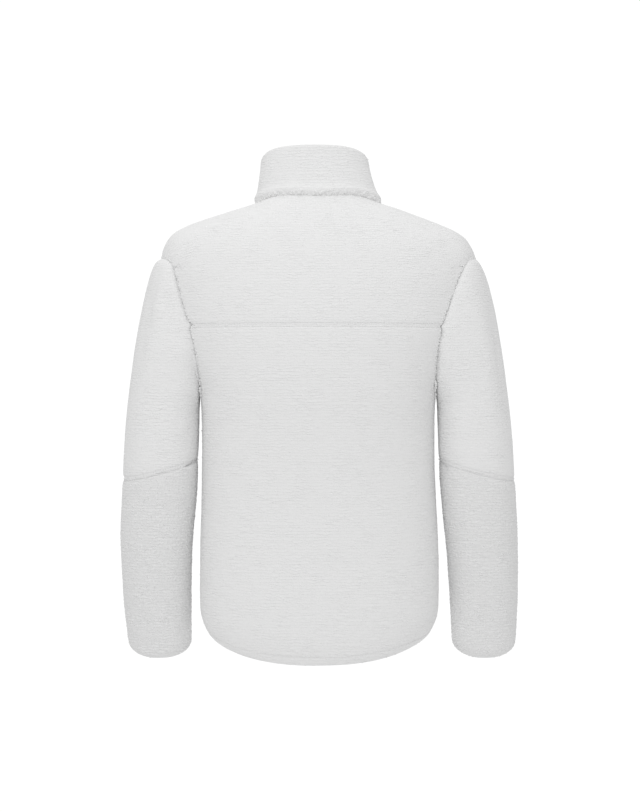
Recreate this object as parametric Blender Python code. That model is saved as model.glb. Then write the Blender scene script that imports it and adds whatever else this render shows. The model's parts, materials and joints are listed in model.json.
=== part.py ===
"""A pile fleece zip jacket, filled out as if worn, cut and sewn from its real pieces.

Metres, +Z up. The wearer faces -Y, and the wearer's left arm is at +X. The origin is at
the base of the neck, between the shoulders, where the wearer carries the jacket.

The torso is a stack of rounded slices. Each panel is a patch of that form, between its
seam lines, made into a wall as thick as the fleece. A sleeve and the collar start at the
edge of their hole in the torso, fold away from it and run down the arm or up the neck.
"""

import math
from collections import namedtuple

import bmesh
import bpy
from mathutils import Matrix, Vector

# Cloth
WALL = 0.004
SEAM_GAP = 0.0003
SEAM_DIP = 0.0014
SEAM_ROUNDING = 0.006
FOLD_RADIUS = 0.0015
UNDERARM_FOLD_RADIUS = 0.0030

# Torso: one slice for each height. back and front are depths from the middle of the body.
SQUARENESS = 2.35
Slice = namedtuple("Slice", "height half_width back front sideways")
TORSO = (
    Slice(-0.700, 0.1840, 0.113, 0.122, -0.0015),
    Slice(-0.610, 0.1843, 0.113, 0.124, -0.0015),
    Slice(-0.530, 0.1838, 0.110, 0.125, -0.0012),
    Slice(-0.456, 0.1807, 0.109, 0.129, -0.0005),
    Slice(-0.380, 0.1791, 0.113, 0.132, 0.0005),
    Slice(-0.295, 0.1795, 0.120, 0.135, 0.0005),
    Slice(-0.255, 0.1940, 0.122, 0.133, 0.0005),
    Slice(-0.200, 0.2165, 0.121, 0.126, 0.0000),
    Slice(-0.140, 0.2310, 0.115, 0.112, 0.0000),
    Slice(-0.086, 0.2440, 0.104, 0.095, 0.0000),
    Slice(-0.062, 0.2370, 0.096, 0.084, 0.0016),
    Slice(-0.0465, 0.2248, 0.089, 0.076, 0.0031),
    Slice(-0.039, 0.2125, 0.0855, 0.0715, 0.0062),
    Slice(-0.031, 0.1928, 0.082, 0.067, 0.0066),
    Slice(-0.0235, 0.1715, 0.078, 0.063, 0.0052),
    Slice(-0.0155, 0.1495, 0.074, 0.058, 0.0002),
    Slice(-0.0078, 0.1255, 0.069, 0.054, 0.0006),
    Slice(0.000, 0.0975, 0.064, 0.050, 0.0005),
    Slice(0.020, 0.0845, 0.055, 0.040, 0.0030),
)

# Hem: it hangs lower at the back and front than at the sides, and a cord pulls it in.
HEM_SIDE = -0.669
HEM_BACK_DROP = 0.032
HEM_FRONT_DROP = 0.015
HEM_TILT = 0.0015
HEM_TUCK_HEIGHT = 0.045
HEM_TUCK_SIDE = 0.020
HEM_TUCK_MIDDLE = 0.010

# Armhole: an oval seen from the side, and the steps that every piece sewn to it shares.
# Its upper back is squarer than an oval, and the right one reaches further round the back.
ARMHOLE_HEIGHT = -0.1905
ARMHOLE_ABOVE = 0.1070
ARMHOLE_BELOW = 0.1075
ARMHOLE_BACK_LEFT = 0.0670
ARMHOLE_BACK_RIGHT = 0.0745
ARMHOLE_FRONT = 0.0660
# From the shoulder to the yoke seam at the back: shares of the armhole's height, and of its
# depth on the left and on the right.
ARMHOLE_UPPER_BACK = (
    (1.000, 0.00, 0.00),
    (0.990, 0.44, 0.40),
    (0.950, 0.70, 0.62),
    (0.870, 0.81, 0.72),
    (0.700, 0.86, 0.81),
    (0.400, 0.89, 0.90),
)
ARMHOLE_STEPS = 24
SHOULDER_STEP = -1
YOKE_STEP = 6
UNDERARM_STEP = 12

# Neck: seen from above, the seam of the collar is an oval.
NECK_HALF_WIDTH = 0.098
NECK_BACK = 0.060
NECK_FRONT = 0.080
NECK_STEPS_BACK = 12
NECK_STEPS_FRONT = 7
SHOULDER_STEPS = 6

# Collar
COLLAR_HALF_WIDTH = 0.0840
COLLAR_BACK = 0.052
COLLAR_FRONT = 0.070
COLLAR_LEAN = 0.0062
COLLAR_RIM_BACK = 0.0865
COLLAR_RIM_SIDE = 0.062
COLLAR_RIM_FRONT = 0.032
COLLAR_ROLL = 0.0036
COLLAR_ROLL_HEIGHT = 0.0075
COLLAR_ROLL_WIDTH = 0.0055
COLLAR_ROWS = (0.04, 0.09, 0.14, 0.20, 0.30, 0.47, 0.65, 0.83, 1.0)

# Arm: one ring for each height. forward is towards the front of the body.
ARM_SQUARENESS = 2.15
Ring = namedtuple("Ring", "height left_outward right_outward forward half_width half_depth")
ARM = (
    Ring(-0.705, 0.2480, 0.2590, 0.0415, 0.0480, 0.053),
    Ring(-0.678, 0.2487, 0.2589, 0.0370, 0.0493, 0.054),
    Ring(-0.612, 0.2518, 0.2581, 0.0270, 0.0524, 0.058),
    Ring(-0.520, 0.2522, 0.2537, 0.0125, 0.0554, 0.062),
    Ring(-0.457, 0.2469, 0.2484, 0.0050, 0.0576, 0.064),
    Ring(-0.395, 0.2443, 0.2444, 0.0010, 0.0575, 0.065),
    Ring(-0.333, 0.2415, 0.2410, 0.0000, 0.0563, 0.066),
    Ring(-0.302, 0.2398, 0.2390, 0.0000, 0.0548, 0.066),
)
BICEPS_HEIGHT = -0.316
BICEPS_ROWS = (0.05, 0.13, 0.23, 0.36, 0.52, 0.68, 0.84, 1.0)
ELBOW_OUTER_HEIGHT = -0.424
ELBOW_RISE = 0.030
ELBOW_RISE_POWER = 1.5
ELBOW_ROWS = 4
CUFF_HEIGHT = -0.6925
CUFF_TILT = 0.18
CUFF_ROUNDING = 0.016
CUFF_ROWS = 8
CUFF_ROUNDING_ROWS = 5

# Folds of the sleeves: angle runs from the outside of the arm towards its back.
Fold = namedtuple("Fold", "side top_angle top low_angle low depth width")
FOLDS = (
    Fold(1, 0, -0.080, 0, -0.098, 0.0040, 0.055),
    Fold(-1, 0, -0.080, 0, -0.098, 0.0012, 0.055),
    Fold(1, 36, -0.125, 44, -0.235, -0.0040, 0.013),
    Fold(1, 62, -0.130, 72, -0.240, 0.0022, 0.018),
    Fold(1, 110, -0.185, 128, -0.245, -0.0030, 0.018),
    Fold(-1, 38, -0.140, 34, -0.320, -0.0032, 0.015),
    Fold(-1, 66, -0.120, 64, -0.260, 0.0020, 0.020),
    Fold(-1, -45, -0.150, -38, -0.290, -0.0030, 0.016),
    Fold(1, -40, -0.135, -46, -0.260, -0.0032, 0.015),
)

# Zip: the fleece stops short of it on both sides, and the tapes lie under the fleece.
ZIP_HALF_GAP = 0.0055
TAPE_INNER = 0.0010
TAPE_OUTER = 0.0130
TAPE_THICKNESS = 0.0008
TAPE_COLUMNS = 3
TAPE_END = 0.002
CHAIN_HALF_WIDTH = 0.0029
CHAIN_BOTTOM = -0.0040
CHAIN_TOP = -0.0016
ZIP_BOX_HALF_WIDTH = 0.0036
SLIDER_BELOW_RIM = 0.013

ROWS_BELOW_ARM = 12
ROW_SPREAD = 1.35
BACK_COLUMNS = 20


def curve_through(rows, column):
    """A smooth curve of one column over the rows' heights, which never overshoots them."""
    heights = [row.height for row in rows]
    values = [getattr(row, column) for row in rows]
    order = sorted(range(len(rows)), key=heights.__getitem__)
    heights = [heights[i] for i in order]
    values = [values[i] for i in order]
    steps = [b - a for a, b in zip(heights, heights[1:])]
    slopes = [(b - a) / step for a, b, step in zip(values, values[1:], steps)]
    tangents = [slopes[0]]
    for low, high in zip(slopes, slopes[1:]):
        tangents.append(0.0 if low * high <= 0 else 2 * low * high / (low + high))
    tangents.append(slopes[-1])

    def at(height):
        height = min(max(height, heights[0]), heights[-1])
        i = 0
        while i < len(steps) - 1 and height > heights[i + 1]:
            i += 1
        t = (height - heights[i]) / steps[i]
        return (
            values[i] * (1 + 2 * t) * (1 - t) ** 2
            + tangents[i] * steps[i] * t * (1 - t) ** 2
            + values[i + 1] * t * t * (3 - 2 * t)
            + tangents[i + 1] * steps[i] * t * t * (t - 1)
        )

    return at


TORSO_AT = {name: curve_through(TORSO, name) for name in Slice._fields[1:]}
ARM_AT = {name: curve_through(ARM, name) for name in Ring._fields[1:]}


def signed_power(value, power):
    return math.copysign(abs(value) ** power, value)


def hem_height(turn):
    drop = HEM_BACK_DROP if math.sin(turn) > 0 else HEM_FRONT_DROP
    return HEM_SIDE - HEM_TILT * math.cos(turn) - drop * math.sin(turn) ** 2


def hem_tuck(turn, height):
    """How far the cord in the hem pulls the cloth in at this height."""
    low = 1 - (height - hem_height(turn)) / HEM_TUCK_HEIGHT
    if low <= 0:
        return 0.0
    full = HEM_TUCK_MIDDLE + (HEM_TUCK_SIDE - HEM_TUCK_MIDDLE) * math.cos(turn) ** 2
    return full * low * low


def torso_point(turn, height):
    """A point of the torso. turn is 0 at the wearer's left side and a quarter at the back."""
    half_width = TORSO_AT["half_width"](height)
    depth = TORSO_AT["back" if math.sin(turn) > 0 else "front"](height)
    tuck = hem_tuck(turn, height)
    x = (half_width - tuck) * signed_power(math.cos(turn), 2 / SQUARENESS)
    y = (depth - tuck) * signed_power(math.sin(turn), 2 / SQUARENESS)
    return Vector((TORSO_AT["sideways"](height) + x, y, height))


def torso_normal(turn, height):
    step_turn, step_height = 0.02, 0.002
    around = torso_point(turn + step_turn, height) - torso_point(turn - step_turn, height)
    up = torso_point(turn, height + step_height) - torso_point(turn, height - step_height)
    return around.cross(up).normalized()


def turn_at_depth(side, height, y):
    """The turn, on one side of the body, where the torso is y behind the middle."""
    depth = TORSO_AT["back" if y > 0 else "front"](height)
    turn = math.asin(signed_power(y / depth, SQUARENESS / 2))
    return turn if side > 0 else math.pi - turn


def turn_near_zip(x, height):
    """The turn on the front of the torso that lies x to the side of the zip."""
    half_width = TORSO_AT["half_width"](height)
    return -math.acos(signed_power(x / half_width, SQUARENESS / 2))


def armhole(side, step):
    """(turn, height) on the armhole. Step 0 is at the shoulder, and steps run to the back."""
    angle = 2 * math.pi * step / ARMHOLE_STEPS
    up, back = math.cos(angle), math.sin(angle)
    if 0 <= step < len(ARMHOLE_UPPER_BACK):
        up, left, right = ARMHOLE_UPPER_BACK[step]
        back = left if side > 0 else right
    height = ARMHOLE_HEIGHT + (ARMHOLE_ABOVE if up > 0 else ARMHOLE_BELOW) * up
    depth = ARMHOLE_BACK_LEFT if side > 0 else ARMHOLE_BACK_RIGHT
    y = (depth if back > 0 else ARMHOLE_FRONT) * back
    return turn_at_depth(side, height, y), height


def halved(low, high, is_low):
    """The value between low and high where is_low turns false."""
    for _ in range(40):
        middle = (low + high) / 2
        low, high = (middle, high) if is_low(middle) else (low, middle)
    return (low + high) / 2


def torso_share(x, y, height):
    """How far out a place is in the slice at this height: less than 1 is inside it."""
    across = abs(x / TORSO_AT["half_width"](height))
    deep = abs(y / TORSO_AT["back" if y > 0 else "front"](height))
    return across**SQUARENESS, deep**SQUARENESS


def neck_place(angle):
    """(turn, height) of the neck seam, an oval seen from above. angle is 0 at the left."""
    x = NECK_HALF_WIDTH * math.cos(angle)
    y = (NECK_BACK if math.sin(angle) > 0 else NECK_FRONT) * math.sin(angle)
    height = halved(-0.10, 0.02, lambda h: sum(torso_share(x, y, h)) < 1)
    across, deep = torso_share(x, y, height)
    turn = math.atan2(math.copysign(deep**0.5, y), math.copysign(across**0.5, x))
    if math.cos(angle) < 0 and math.sin(angle) < 0 and angle > 0:
        turn += 2 * math.pi
    return turn, height


def neck_angle(side, y):
    """The angle at which the neck seam is y behind the middle, on one side of the neck."""
    angle = math.asin(y / (NECK_BACK if y > 0 else NECK_FRONT))
    return angle if side > 0 else math.pi - angle


def neck_angle_near_zip(x):
    return -math.acos(x / NECK_HALF_WIDTH)


def shoulder_end(side, y):
    """(turn, height) where the shoulder seam, y behind the middle, meets the neck seam."""
    return neck_place(neck_angle(side, y))


def shoulder_y():
    angle = 2 * math.pi * SHOULDER_STEP / ARMHOLE_STEPS
    return ARMHOLE_FRONT * math.sin(angle)


def shoulder_line(side, shift):
    """The shoulder seam from the armhole to the neck, as (turn, height) points."""
    y = shoulder_y() + shift
    low = armhole(side, SHOULDER_STEP)[1]
    high = shoulder_end(side, y)[1]
    heights = [
        low + (high - low) * (i / SHOULDER_STEPS) ** 0.8 for i in range(SHOULDER_STEPS + 1)
    ]
    return [(turn_at_depth(side, height, y), height) for height in heights]


def neck_angles(side, shift=0.0):
    """Angles of the neck seam on one front, from the zip to the shoulder seam."""
    start = neck_angle_near_zip(side * ZIP_HALF_GAP)
    end = neck_angle(side, shoulder_y() + shift)
    if side < 0:
        end -= 2 * math.pi
    return [start + (end - start) * i / NECK_STEPS_FRONT for i in range(NECK_STEPS_FRONT + 1)]


def neck_angles_back(shift=0.0):
    """Angles of the neck seam round the back, from the left shoulder seam to the right."""
    start = neck_angle(1, shoulder_y() + shift)
    end = neck_angle(-1, shoulder_y() + shift)
    return [start + (end - start) * i / NECK_STEPS_BACK for i in range(NECK_STEPS_BACK + 1)]


def with_seam_rows(edge):
    """Places along a panel's edge, with one more beside the seam at each end."""
    points = [torso_point(*place) for place in edge]
    count = len(points) - 1
    first = min(0.5, SEAM_ROUNDING / (points[1] - points[0]).length)
    last = min(0.5, SEAM_ROUNDING / (points[-1] - points[-2]).length)
    return [0.0, first] + [float(i) for i in range(1, count)] + [count - last, float(count)]


def along(points, place):
    """The point at a fractional index of a polyline."""
    i = min(int(place), len(points) - 2)
    t = place - i
    return tuple(a + (b - a) * t for a, b in zip(points[i], points[i + 1]))


def coons(bottom, top, left, right, columns, rows, top_power=1.0):
    """A grid of (turn, height) inside four edges that share their corners.

    A higher top_power keeps the shape of the top edge nearer to the top.
    """
    across, high = len(bottom) - 1, len(left) - 1
    grid = []
    for row in rows:
        v = (row / high) ** top_power
        start, end = along(left, row), along(right, row)
        line = []
        for column in columns:
            u = column / across
            low, top_point = along(bottom, column), along(top, column)
            line.append(
                tuple(
                    (1 - v) * low[k]
                    + v * top_point[k]
                    + (1 - u) * start[k]
                    + u * end[k]
                    - (1 - u) * (1 - v) * bottom[0][k]
                    - u * (1 - v) * bottom[-1][k]
                    - (1 - u) * v * top[0][k]
                    - u * v * top[-1][k]
                    for k in (0, 1)
                )
            )
        grid.append(line)
    return grid


def line_between(start, end, count):
    return [
        tuple(a + (b - a) * i / count for a, b in zip(start, end)) for i in range(count + 1)
    ]


def end_faces(mesh, corners):
    """Closes a wall's cut edge. Pieces that meet at a seam split it along the same line."""
    first_out, first_in, next_in, next_out = corners
    direction = Vector((1, 2, 3))
    if direction.dot(first_out.co) > direction.dot(next_out.co):
        mesh.faces.new((first_out, first_in, next_in))
        mesh.faces.new((first_out, next_in, next_out))
    else:
        mesh.faces.new((first_out, first_in, next_out))
        mesh.faces.new((first_in, next_in, next_out))


def closed_wall(name, outer, inner, material, ring=False):
    """One solid between two grids of points. A ring's columns meet round the back."""
    rows, columns = len(outer), len(outer[0])
    mesh = bmesh.new()
    outside = [[mesh.verts.new(p) for p in row] for row in outer]
    inside = [[mesh.verts.new(p) for p in row] for row in inner]
    last = columns if ring else columns - 1
    for j in range(rows - 1):
        for i in range(last):
            k = (i + 1) % columns
            mesh.faces.new((outside[j][i], outside[j][k], outside[j + 1][k], outside[j + 1][i]))
            mesh.faces.new((inside[j][i], inside[j + 1][i], inside[j + 1][k], inside[j][k]))
    for j in (0, rows - 1):
        for i in range(last):
            k = (i + 1) % columns
            end_faces(mesh, (outside[j][i], inside[j][i], inside[j][k], outside[j][k]))
    if not ring:
        for i in (0, columns - 1):
            for j in range(rows - 1):
                end_faces(mesh, (outside[j][i], inside[j][i], inside[j + 1][i], outside[j + 1][i]))
    return finished(name, mesh, material)


def finished(name, mesh, material):
    bmesh.ops.recalc_face_normals(mesh, faces=mesh.faces)
    data = bpy.data.meshes.new(name)
    mesh.to_mesh(data)
    mesh.free()
    data.materials.append(material)
    data.shade_smooth()
    data.set_sharp_from_angle(angle=math.radians(50))
    thing = bpy.data.objects.new(name, data)
    bpy.context.scene.collection.objects.link(thing)
    return thing


def torso_panel(name, grid, material):
    """A panel of the torso's form. Its outside is rounded down where it meets a seam."""
    outer, inner = [], []
    rows, columns = len(grid), len(grid[0])
    for j, line in enumerate(grid):
        outer.append([])
        inner.append([])
        for i, (turn, height) in enumerate(line):
            point, normal = torso_point(turn, height), torso_normal(turn, height)
            at_seam = j in (0, rows - 1) or i in (0, columns - 1)
            outer[-1].append(point - normal * (SEAM_DIP if at_seam else 0))
            inner[-1].append(point - normal * WALL)
    return closed_wall(name, outer, inner, material)


def make_back_yoke(material):
    """The upper back, which wraps over both shoulders to seams a little in front."""
    shift = SEAM_GAP / 2
    seam = ARMHOLE_HEIGHT + shift
    sides = []
    for side in (1, -1):
        edge = [armhole(side, step) for step in range(YOKE_STEP, SHOULDER_STEP - 1, -1)]
        edge[0] = (edge[0][0], seam)
        edge[-1] = shoulder_line(side, shift)[0]
        sides.append(edge)
    left, right = sides
    top = (
        shoulder_line(1, shift)[:-1]
        + [neck_place(angle) for angle in neck_angles_back(shift)]
        + shoulder_line(-1, shift)[-2::-1]
    )
    bottom = line_between(left[0], right[0], len(top) - 1)
    grid = coons(
        bottom,
        top,
        left,
        right,
        with_seam_rows(top),
        with_seam_rows(left),
    )
    return torso_panel("back_yoke", grid, material)


def side_seam(side, shift):
    """The side seam from the hem to the underarm, just behind or in front of the middle."""
    points = []
    start, end = hem_height(0 if side > 0 else math.pi), armhole(side, UNDERARM_STEP)[1]
    for i in range(ROWS_BELOW_ARM + 1):
        height = start + (end - start) * (i / ROWS_BELOW_ARM) ** ROW_SPREAD
        points.append((turn_at_depth(side, height, shift), height))
    return points


def make_back_panel(material):
    """The back below the yoke, from side seam to side seam."""
    shift = SEAM_GAP / 2
    seam = ARMHOLE_HEIGHT - shift
    sides = []
    for side in (1, -1):
        edge = side_seam(side, shift)
        edge += [armhole(side, step) for step in range(UNDERARM_STEP - 1, YOKE_STEP - 1, -1)]
        edge[-1] = (edge[-1][0], seam)
        sides.append(edge)
    left, right = sides
    bottom = [
        (turn, hem_height(turn))
        for turn, _ in line_between(left[0], right[0], BACK_COLUMNS)
    ]
    top = line_between(left[-1], right[-1], BACK_COLUMNS)
    grid = coons(
        bottom,
        top,
        left,
        right,
        with_seam_rows(bottom),
        with_seam_rows(left),
    )
    return torso_panel("back_panel", grid, material)


def zip_heights():
    """Heights of the rows of the zip edge, from the hem to the neck seam."""
    low = hem_height(-math.pi / 2)
    high = neck_place(neck_angle_near_zip(ZIP_HALF_GAP))[1]
    below = armhole(1, UNDERARM_STEP)[1]
    heights = [
        low + (below - low) * (i / ROWS_BELOW_ARM) ** ROW_SPREAD for i in range(ROWS_BELOW_ARM + 1)
    ]
    above = ARMHOLE_STEPS + SHOULDER_STEP - UNDERARM_STEP
    heights += [below + (high - below) * i / above for i in range(1, above + 1)]
    return heights


def make_front(name, side, material):
    """One front, from the zip to the side seam and up over the chest to the shoulder."""
    shift = -SEAM_GAP / 2
    outer_edge = side_seam(side, shift)
    last_step = ARMHOLE_STEPS + SHOULDER_STEP
    outer_edge += [armhole(side, step) for step in range(UNDERARM_STEP + 1, last_step + 1)]
    shoulder = shoulder_line(side, shift)
    outer_edge[-1] = shoulder[0]
    top = [neck_place(angle) for angle in neck_angles(side, shift)] + shoulder[-2::-1]
    if side < 0:
        outer_edge = [(turn - 2 * math.pi, height) for turn, height in outer_edge]
        top = top[: NECK_STEPS_FRONT + 1] + [
            (turn - 2 * math.pi, height) for turn, height in top[NECK_STEPS_FRONT + 1 :]
        ]
    zip_x = side * ZIP_HALF_GAP
    zip_edge = [(turn_near_zip(zip_x, height), height) for height in zip_heights()]
    zip_edge[-1] = top[0]
    bottom = [
        (turn, hem_height(turn))
        for turn, _ in line_between(zip_edge[0], outer_edge[0], len(top) - 1)
    ]
    zip_edge[0] = bottom[0]
    grid = coons(
        bottom,
        top,
        zip_edge,
        outer_edge,
        with_seam_rows(top),
        with_seam_rows(zip_edge),
        top_power=5.0,
    )
    return torso_panel(name, grid, material)


def seam_frames(points, normals, middle, ring):
    """For each point of a hole's edge, the direction into the hole along the cloth."""
    count = len(points)
    inward = []
    for i, (point, normal) in enumerate(zip(points, normals)):
        before = points[(i - 1) % count] if ring or i > 0 else point
        after = points[(i + 1) % count] if ring or i < count - 1 else point
        across = normal.cross(after - before).normalized()
        if across.dot(middle - point) < 0:
            across.negate()
        inward.append(across)
    return inward


def folded_start(point, normal, inward, heading, radius):
    """Three pairs of outer and inner points that carry cloth from a seam towards heading."""
    bend = math.atan2(heading.dot(normal), heading.dot(inward))
    pivot = point + inward * SEAM_GAP + normal * radius
    pairs = []
    for share in (0.0, 0.5, 1.0):
        away = inward * math.sin(bend * share) - normal * math.cos(bend * share)
        dip = SEAM_DIP if share == 0 else 0.0
        pairs.append((pivot + away * (radius + dip), pivot + away * (radius + WALL)))
    forward = inward * math.cos(bend) + normal * math.sin(bend)
    return pairs, forward


def hermite(start, start_tangent, end, end_tangent, t):
    return (
        start * ((1 + 2 * t) * (1 - t) ** 2)
        + start_tangent * (t * (1 - t) ** 2)
        + end * (t * t * (3 - 2 * t))
        + end_tangent * (t * t * (t - 1))
    )


def grid_normals(grid, ring):
    """Outward normals of a grid whose rows run down or up a tube, found from its neighbours."""
    rows, columns = len(grid), len(grid[0])
    middles = [sum(row, Vector()) / columns for row in grid]
    normals = []
    for j in range(rows):
        line = []
        for i in range(columns):
            before = grid[j][(i - 1) % columns if ring else max(i - 1, 0)]
            after = grid[j][(i + 1) % columns if ring else min(i + 1, columns - 1)]
            low = grid[max(j - 1, 0)][i]
            high = grid[min(j + 1, rows - 1)][i]
            normal = (after - before).cross(high - low).normalized()
            if normal.dot(grid[j][i] - middles[j]) < 0:
                normal.negate()
            line.append(normal)
        normals.append(line)
    return normals


def arm_point(side, angle, height, tuck=0.0):
    """A point of the arm. angle is 0 on the outside of the arm and a quarter at its back."""
    outward = ARM_AT["left_outward" if side > 0 else "right_outward"](height)
    x = (ARM_AT["half_width"](height) - tuck) * signed_power(math.cos(angle), 2 / ARM_SQUARENESS)
    y = (ARM_AT["half_depth"](height) - tuck) * signed_power(math.sin(angle), 2 / ARM_SQUARENESS)
    return Vector((side * (outward + x), y - ARM_AT["forward"](height), height))


def elbow_height(angle):
    share = ((1 - math.cos(angle)) / 2) ** ELBOW_RISE_POWER
    return ELBOW_OUTER_HEIGHT + ELBOW_RISE * share


def sleeve_heading(side, angle):
    """The direction in which the sleeve leaves the armhole."""
    outward = 0.25 + 0.60 * ((1 + math.cos(angle)) / 2) ** 2
    return Vector((side * outward, 0.25 * math.sin(angle), -0.85)).normalized()


def fold_shift(side, angle, height):
    """How far the folds push the sleeve out at this place."""
    degrees = (math.degrees(angle) + 180) % 360 - 180
    total = 0.0
    for fold in FOLDS:
        if fold.side != side:
            continue
        share = (fold.top - height) / (fold.top - fold.low)
        beyond = max(-share, share - 1, 0) * (fold.top - fold.low)
        share = min(max(share, 0), 1)
        centre = fold.top_angle + (fold.low_angle - fold.top_angle) * share
        away = math.radians(degrees - centre) * ARM_AT["half_depth"](height)
        total += fold.depth * math.exp(-((away / fold.width) ** 2) - (beyond / 0.03) ** 2)
    return total


def sleeve_angles():
    return [2 * math.pi * step / ARMHOLE_STEPS for step in range(ARMHOLE_STEPS)]


def sleeve_wall(name, side, outer, start_inner, material):
    """A sleeve's tube from its outer points. start_inner holds rows that are already made."""
    normals = grid_normals(outer, ring=True)
    inner = list(start_inner)
    for j in range(len(start_inner), len(outer)):
        inner.append([p - n * WALL for p, n in zip(outer[j], normals[j])])
    return closed_wall(name, outer, inner, material, ring=True)


def make_upper_sleeve(name, side, material):
    """The sleeve from the armhole to the elbow seam."""
    angles = sleeve_angles()
    places = [armhole(side, step) for step in range(ARMHOLE_STEPS)]
    points = [torso_point(*place) for place in places]
    normals = [torso_normal(*place) for place in places]
    inward = seam_frames(points, normals, sum(points, Vector()) / len(points), ring=True)
    outer = [[] for _ in range(3 + len(BICEPS_ROWS))]
    inner = [[] for _ in range(3)]
    for angle, point, normal, across in zip(angles, points, normals, inward):
        heading = sleeve_heading(side, angle)
        low = (1 - math.cos(angle)) / 2
        radius = FOLD_RADIUS + (UNDERARM_FOLD_RADIUS - FOLD_RADIUS) * low
        pairs, forward = folded_start(point, normal, across, heading, radius)
        for j, (outside, inside) in enumerate(pairs):
            outer[j].append(outside)
            inner[j].append(inside)
        start, end = pairs[-1][0], arm_point(side, angle, BICEPS_HEIGHT)
        length = (end - start).length
        along_arm = arm_point(side, angle, BICEPS_HEIGHT - 0.01) - end
        leaving = forward * length * 0.5
        arriving = along_arm.normalized() * length
        for j, t in enumerate(BICEPS_ROWS):
            outer[3 + j].append(hermite(start, leaving, end, arriving, t))
    seam_close = SEAM_ROUNDING
    for j in range(1, ELBOW_ROWS + 2):
        row = []
        for angle in angles:
            low = elbow_height(angle) + SEAM_GAP / 2
            height = BICEPS_HEIGHT + (low + seam_close - BICEPS_HEIGHT) * j / ELBOW_ROWS
            at_seam = j > ELBOW_ROWS
            height = low if at_seam else height
            row.append(arm_point(side, angle, height, SEAM_DIP if at_seam else 0.0))
        outer.append(row)
    outer = folded(side, angles, outer, first=3)
    return sleeve_wall(name, side, outer, inner, material)


def folded(side, angles, outer, first):
    """The rows with the sleeve's folds pressed into them, from row first on."""
    normals = grid_normals(outer, ring=True)
    rows = []
    for j, row in enumerate(outer):
        if j < first:
            rows.append(row)
            continue
        rows.append(
            [
                point + normal * fold_shift(side, angle, point.z)
                for angle, point, normal in zip(angles, row, normals[j])
            ]
        )
    return rows


def make_lower_sleeve(name, side, material):
    """The forearm of the sleeve, from the elbow seam to the cuff, which is turned in."""
    angles = sleeve_angles()
    places = [(0.0, None)] + [(i / (CUFF_ROWS - 1), None) for i in range(CUFF_ROWS)]
    for i in range(1, CUFF_ROUNDING_ROWS + 1):
        places.append((1.0, math.pi / 2 * i / CUFF_ROUNDING_ROWS))
    outer = []
    for j, (share, roll) in enumerate(places):
        row = []
        for angle in angles:
            top = elbow_height(angle) - SEAM_GAP / 2
            depth = ARM_AT["half_depth"](CUFF_HEIGHT)
            end = CUFF_HEIGHT - CUFF_TILT * depth * math.sin(angle)
            last = end + CUFF_ROUNDING
            height = top - SEAM_ROUNDING + (last - top + SEAM_ROUNDING) * share
            inset = 0.0
            if j == 0:
                height, inset = top, SEAM_DIP
            elif roll is not None:
                height = last - CUFF_ROUNDING * math.sin(roll)
                inset = CUFF_ROUNDING * (1 - math.cos(roll))
            row.append(arm_point(side, angle, height, inset))
        outer.append(row)
    return sleeve_wall(name, side, outer, [], material)


def rim_height(share):
    """The collar rim's height, where share is 1 at the back, 0 at the side, -1 at the zip."""
    if share > 0:
        rise = COLLAR_RIM_BACK - COLLAR_RIM_SIDE
        return COLLAR_RIM_SIDE + rise * (1 - (1 - share) ** 1.35)
    fall = COLLAR_RIM_SIDE - COLLAR_RIM_FRONT
    return COLLAR_RIM_SIDE + fall * (1.25 * share + 0.25 * share * share)


def collar_column(angle):
    """(outer, inner) points of the collar at one angle of the neck seam, from seam to rim."""
    turn, height = neck_place(angle)
    point, normal = torso_point(turn, height), torso_normal(turn, height)
    step = 0.03
    before, after = (torso_point(*neck_place(a)) for a in (angle - step, angle + step))
    sideways = TORSO_AT["sideways"](height)
    middle = Vector((sideways, 0, 0.03))
    inward = seam_frames([before, point, after], [normal] * 3, middle, ring=False)[1]
    share = math.sin(angle)
    narrowing = (1 - COLLAR_HALF_WIDTH / NECK_HALF_WIDTH) * math.cos(angle) ** 2
    lean = (COLLAR_LEAN - sideways) * min(1, 1 + share)
    rim = Vector(
        (
            sideways + lean + NECK_HALF_WIDTH * math.cos(angle) * (1 - narrowing),
            share * (COLLAR_BACK if share > 0 else COLLAR_FRONT),
            rim_height(share),
        )
    )
    heading = (rim - point).normalized()
    pairs, forward = folded_start(point, normal, inward, heading, FOLD_RADIUS)
    start = pairs[-1][0]
    length = (rim - start).length
    upright = Vector((-0.04 * math.cos(angle) ** 3, -0.04 * share, 1)).normalized() * length
    places = [hermite(start, forward * length, rim, upright, v) for v in COLLAR_ROWS]
    rolls = [
        COLLAR_ROLL * math.exp(-(((v * length - COLLAR_ROLL_HEIGHT) / COLLAR_ROLL_WIDTH) ** 2))
        for v in COLLAR_ROWS
    ]
    return pairs, places, rolls


def collar_grids(angles):
    """The collar's outer and inner points as rows, without and with its roll."""
    columns = [collar_column(angle) for angle in angles]
    outer = [[column[0][j][0] for column in columns] for j in range(3)]
    inner = [[column[0][j][1] for column in columns] for j in range(3)]
    outer += [[column[1][j] for column in columns] for j in range(len(COLLAR_ROWS))]
    normals = grid_normals(outer, ring=False)
    inner += [
        [p - n * WALL for p, n in zip(outer[j], normals[j])] for j in range(3, len(outer))
    ]
    rolled = outer[:3] + [
        [p + n * column[2][j - 3] for p, n, column in zip(outer[j], normals[j], columns)]
        for j in range(3, len(outer))
    ]
    return outer, inner, rolled, normals


def make_collar(material):
    """The stand-up collar, from one side of the zip round the back to the other."""
    angles = neck_angles(1)[:-1] + neck_angles_back()
    angles += [angle + 2 * math.pi for angle in neck_angles(-1)[-2::-1]]
    _, inner, rolled, _ = collar_grids(angles)
    return closed_wall("collar", rolled, inner, material)


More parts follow.
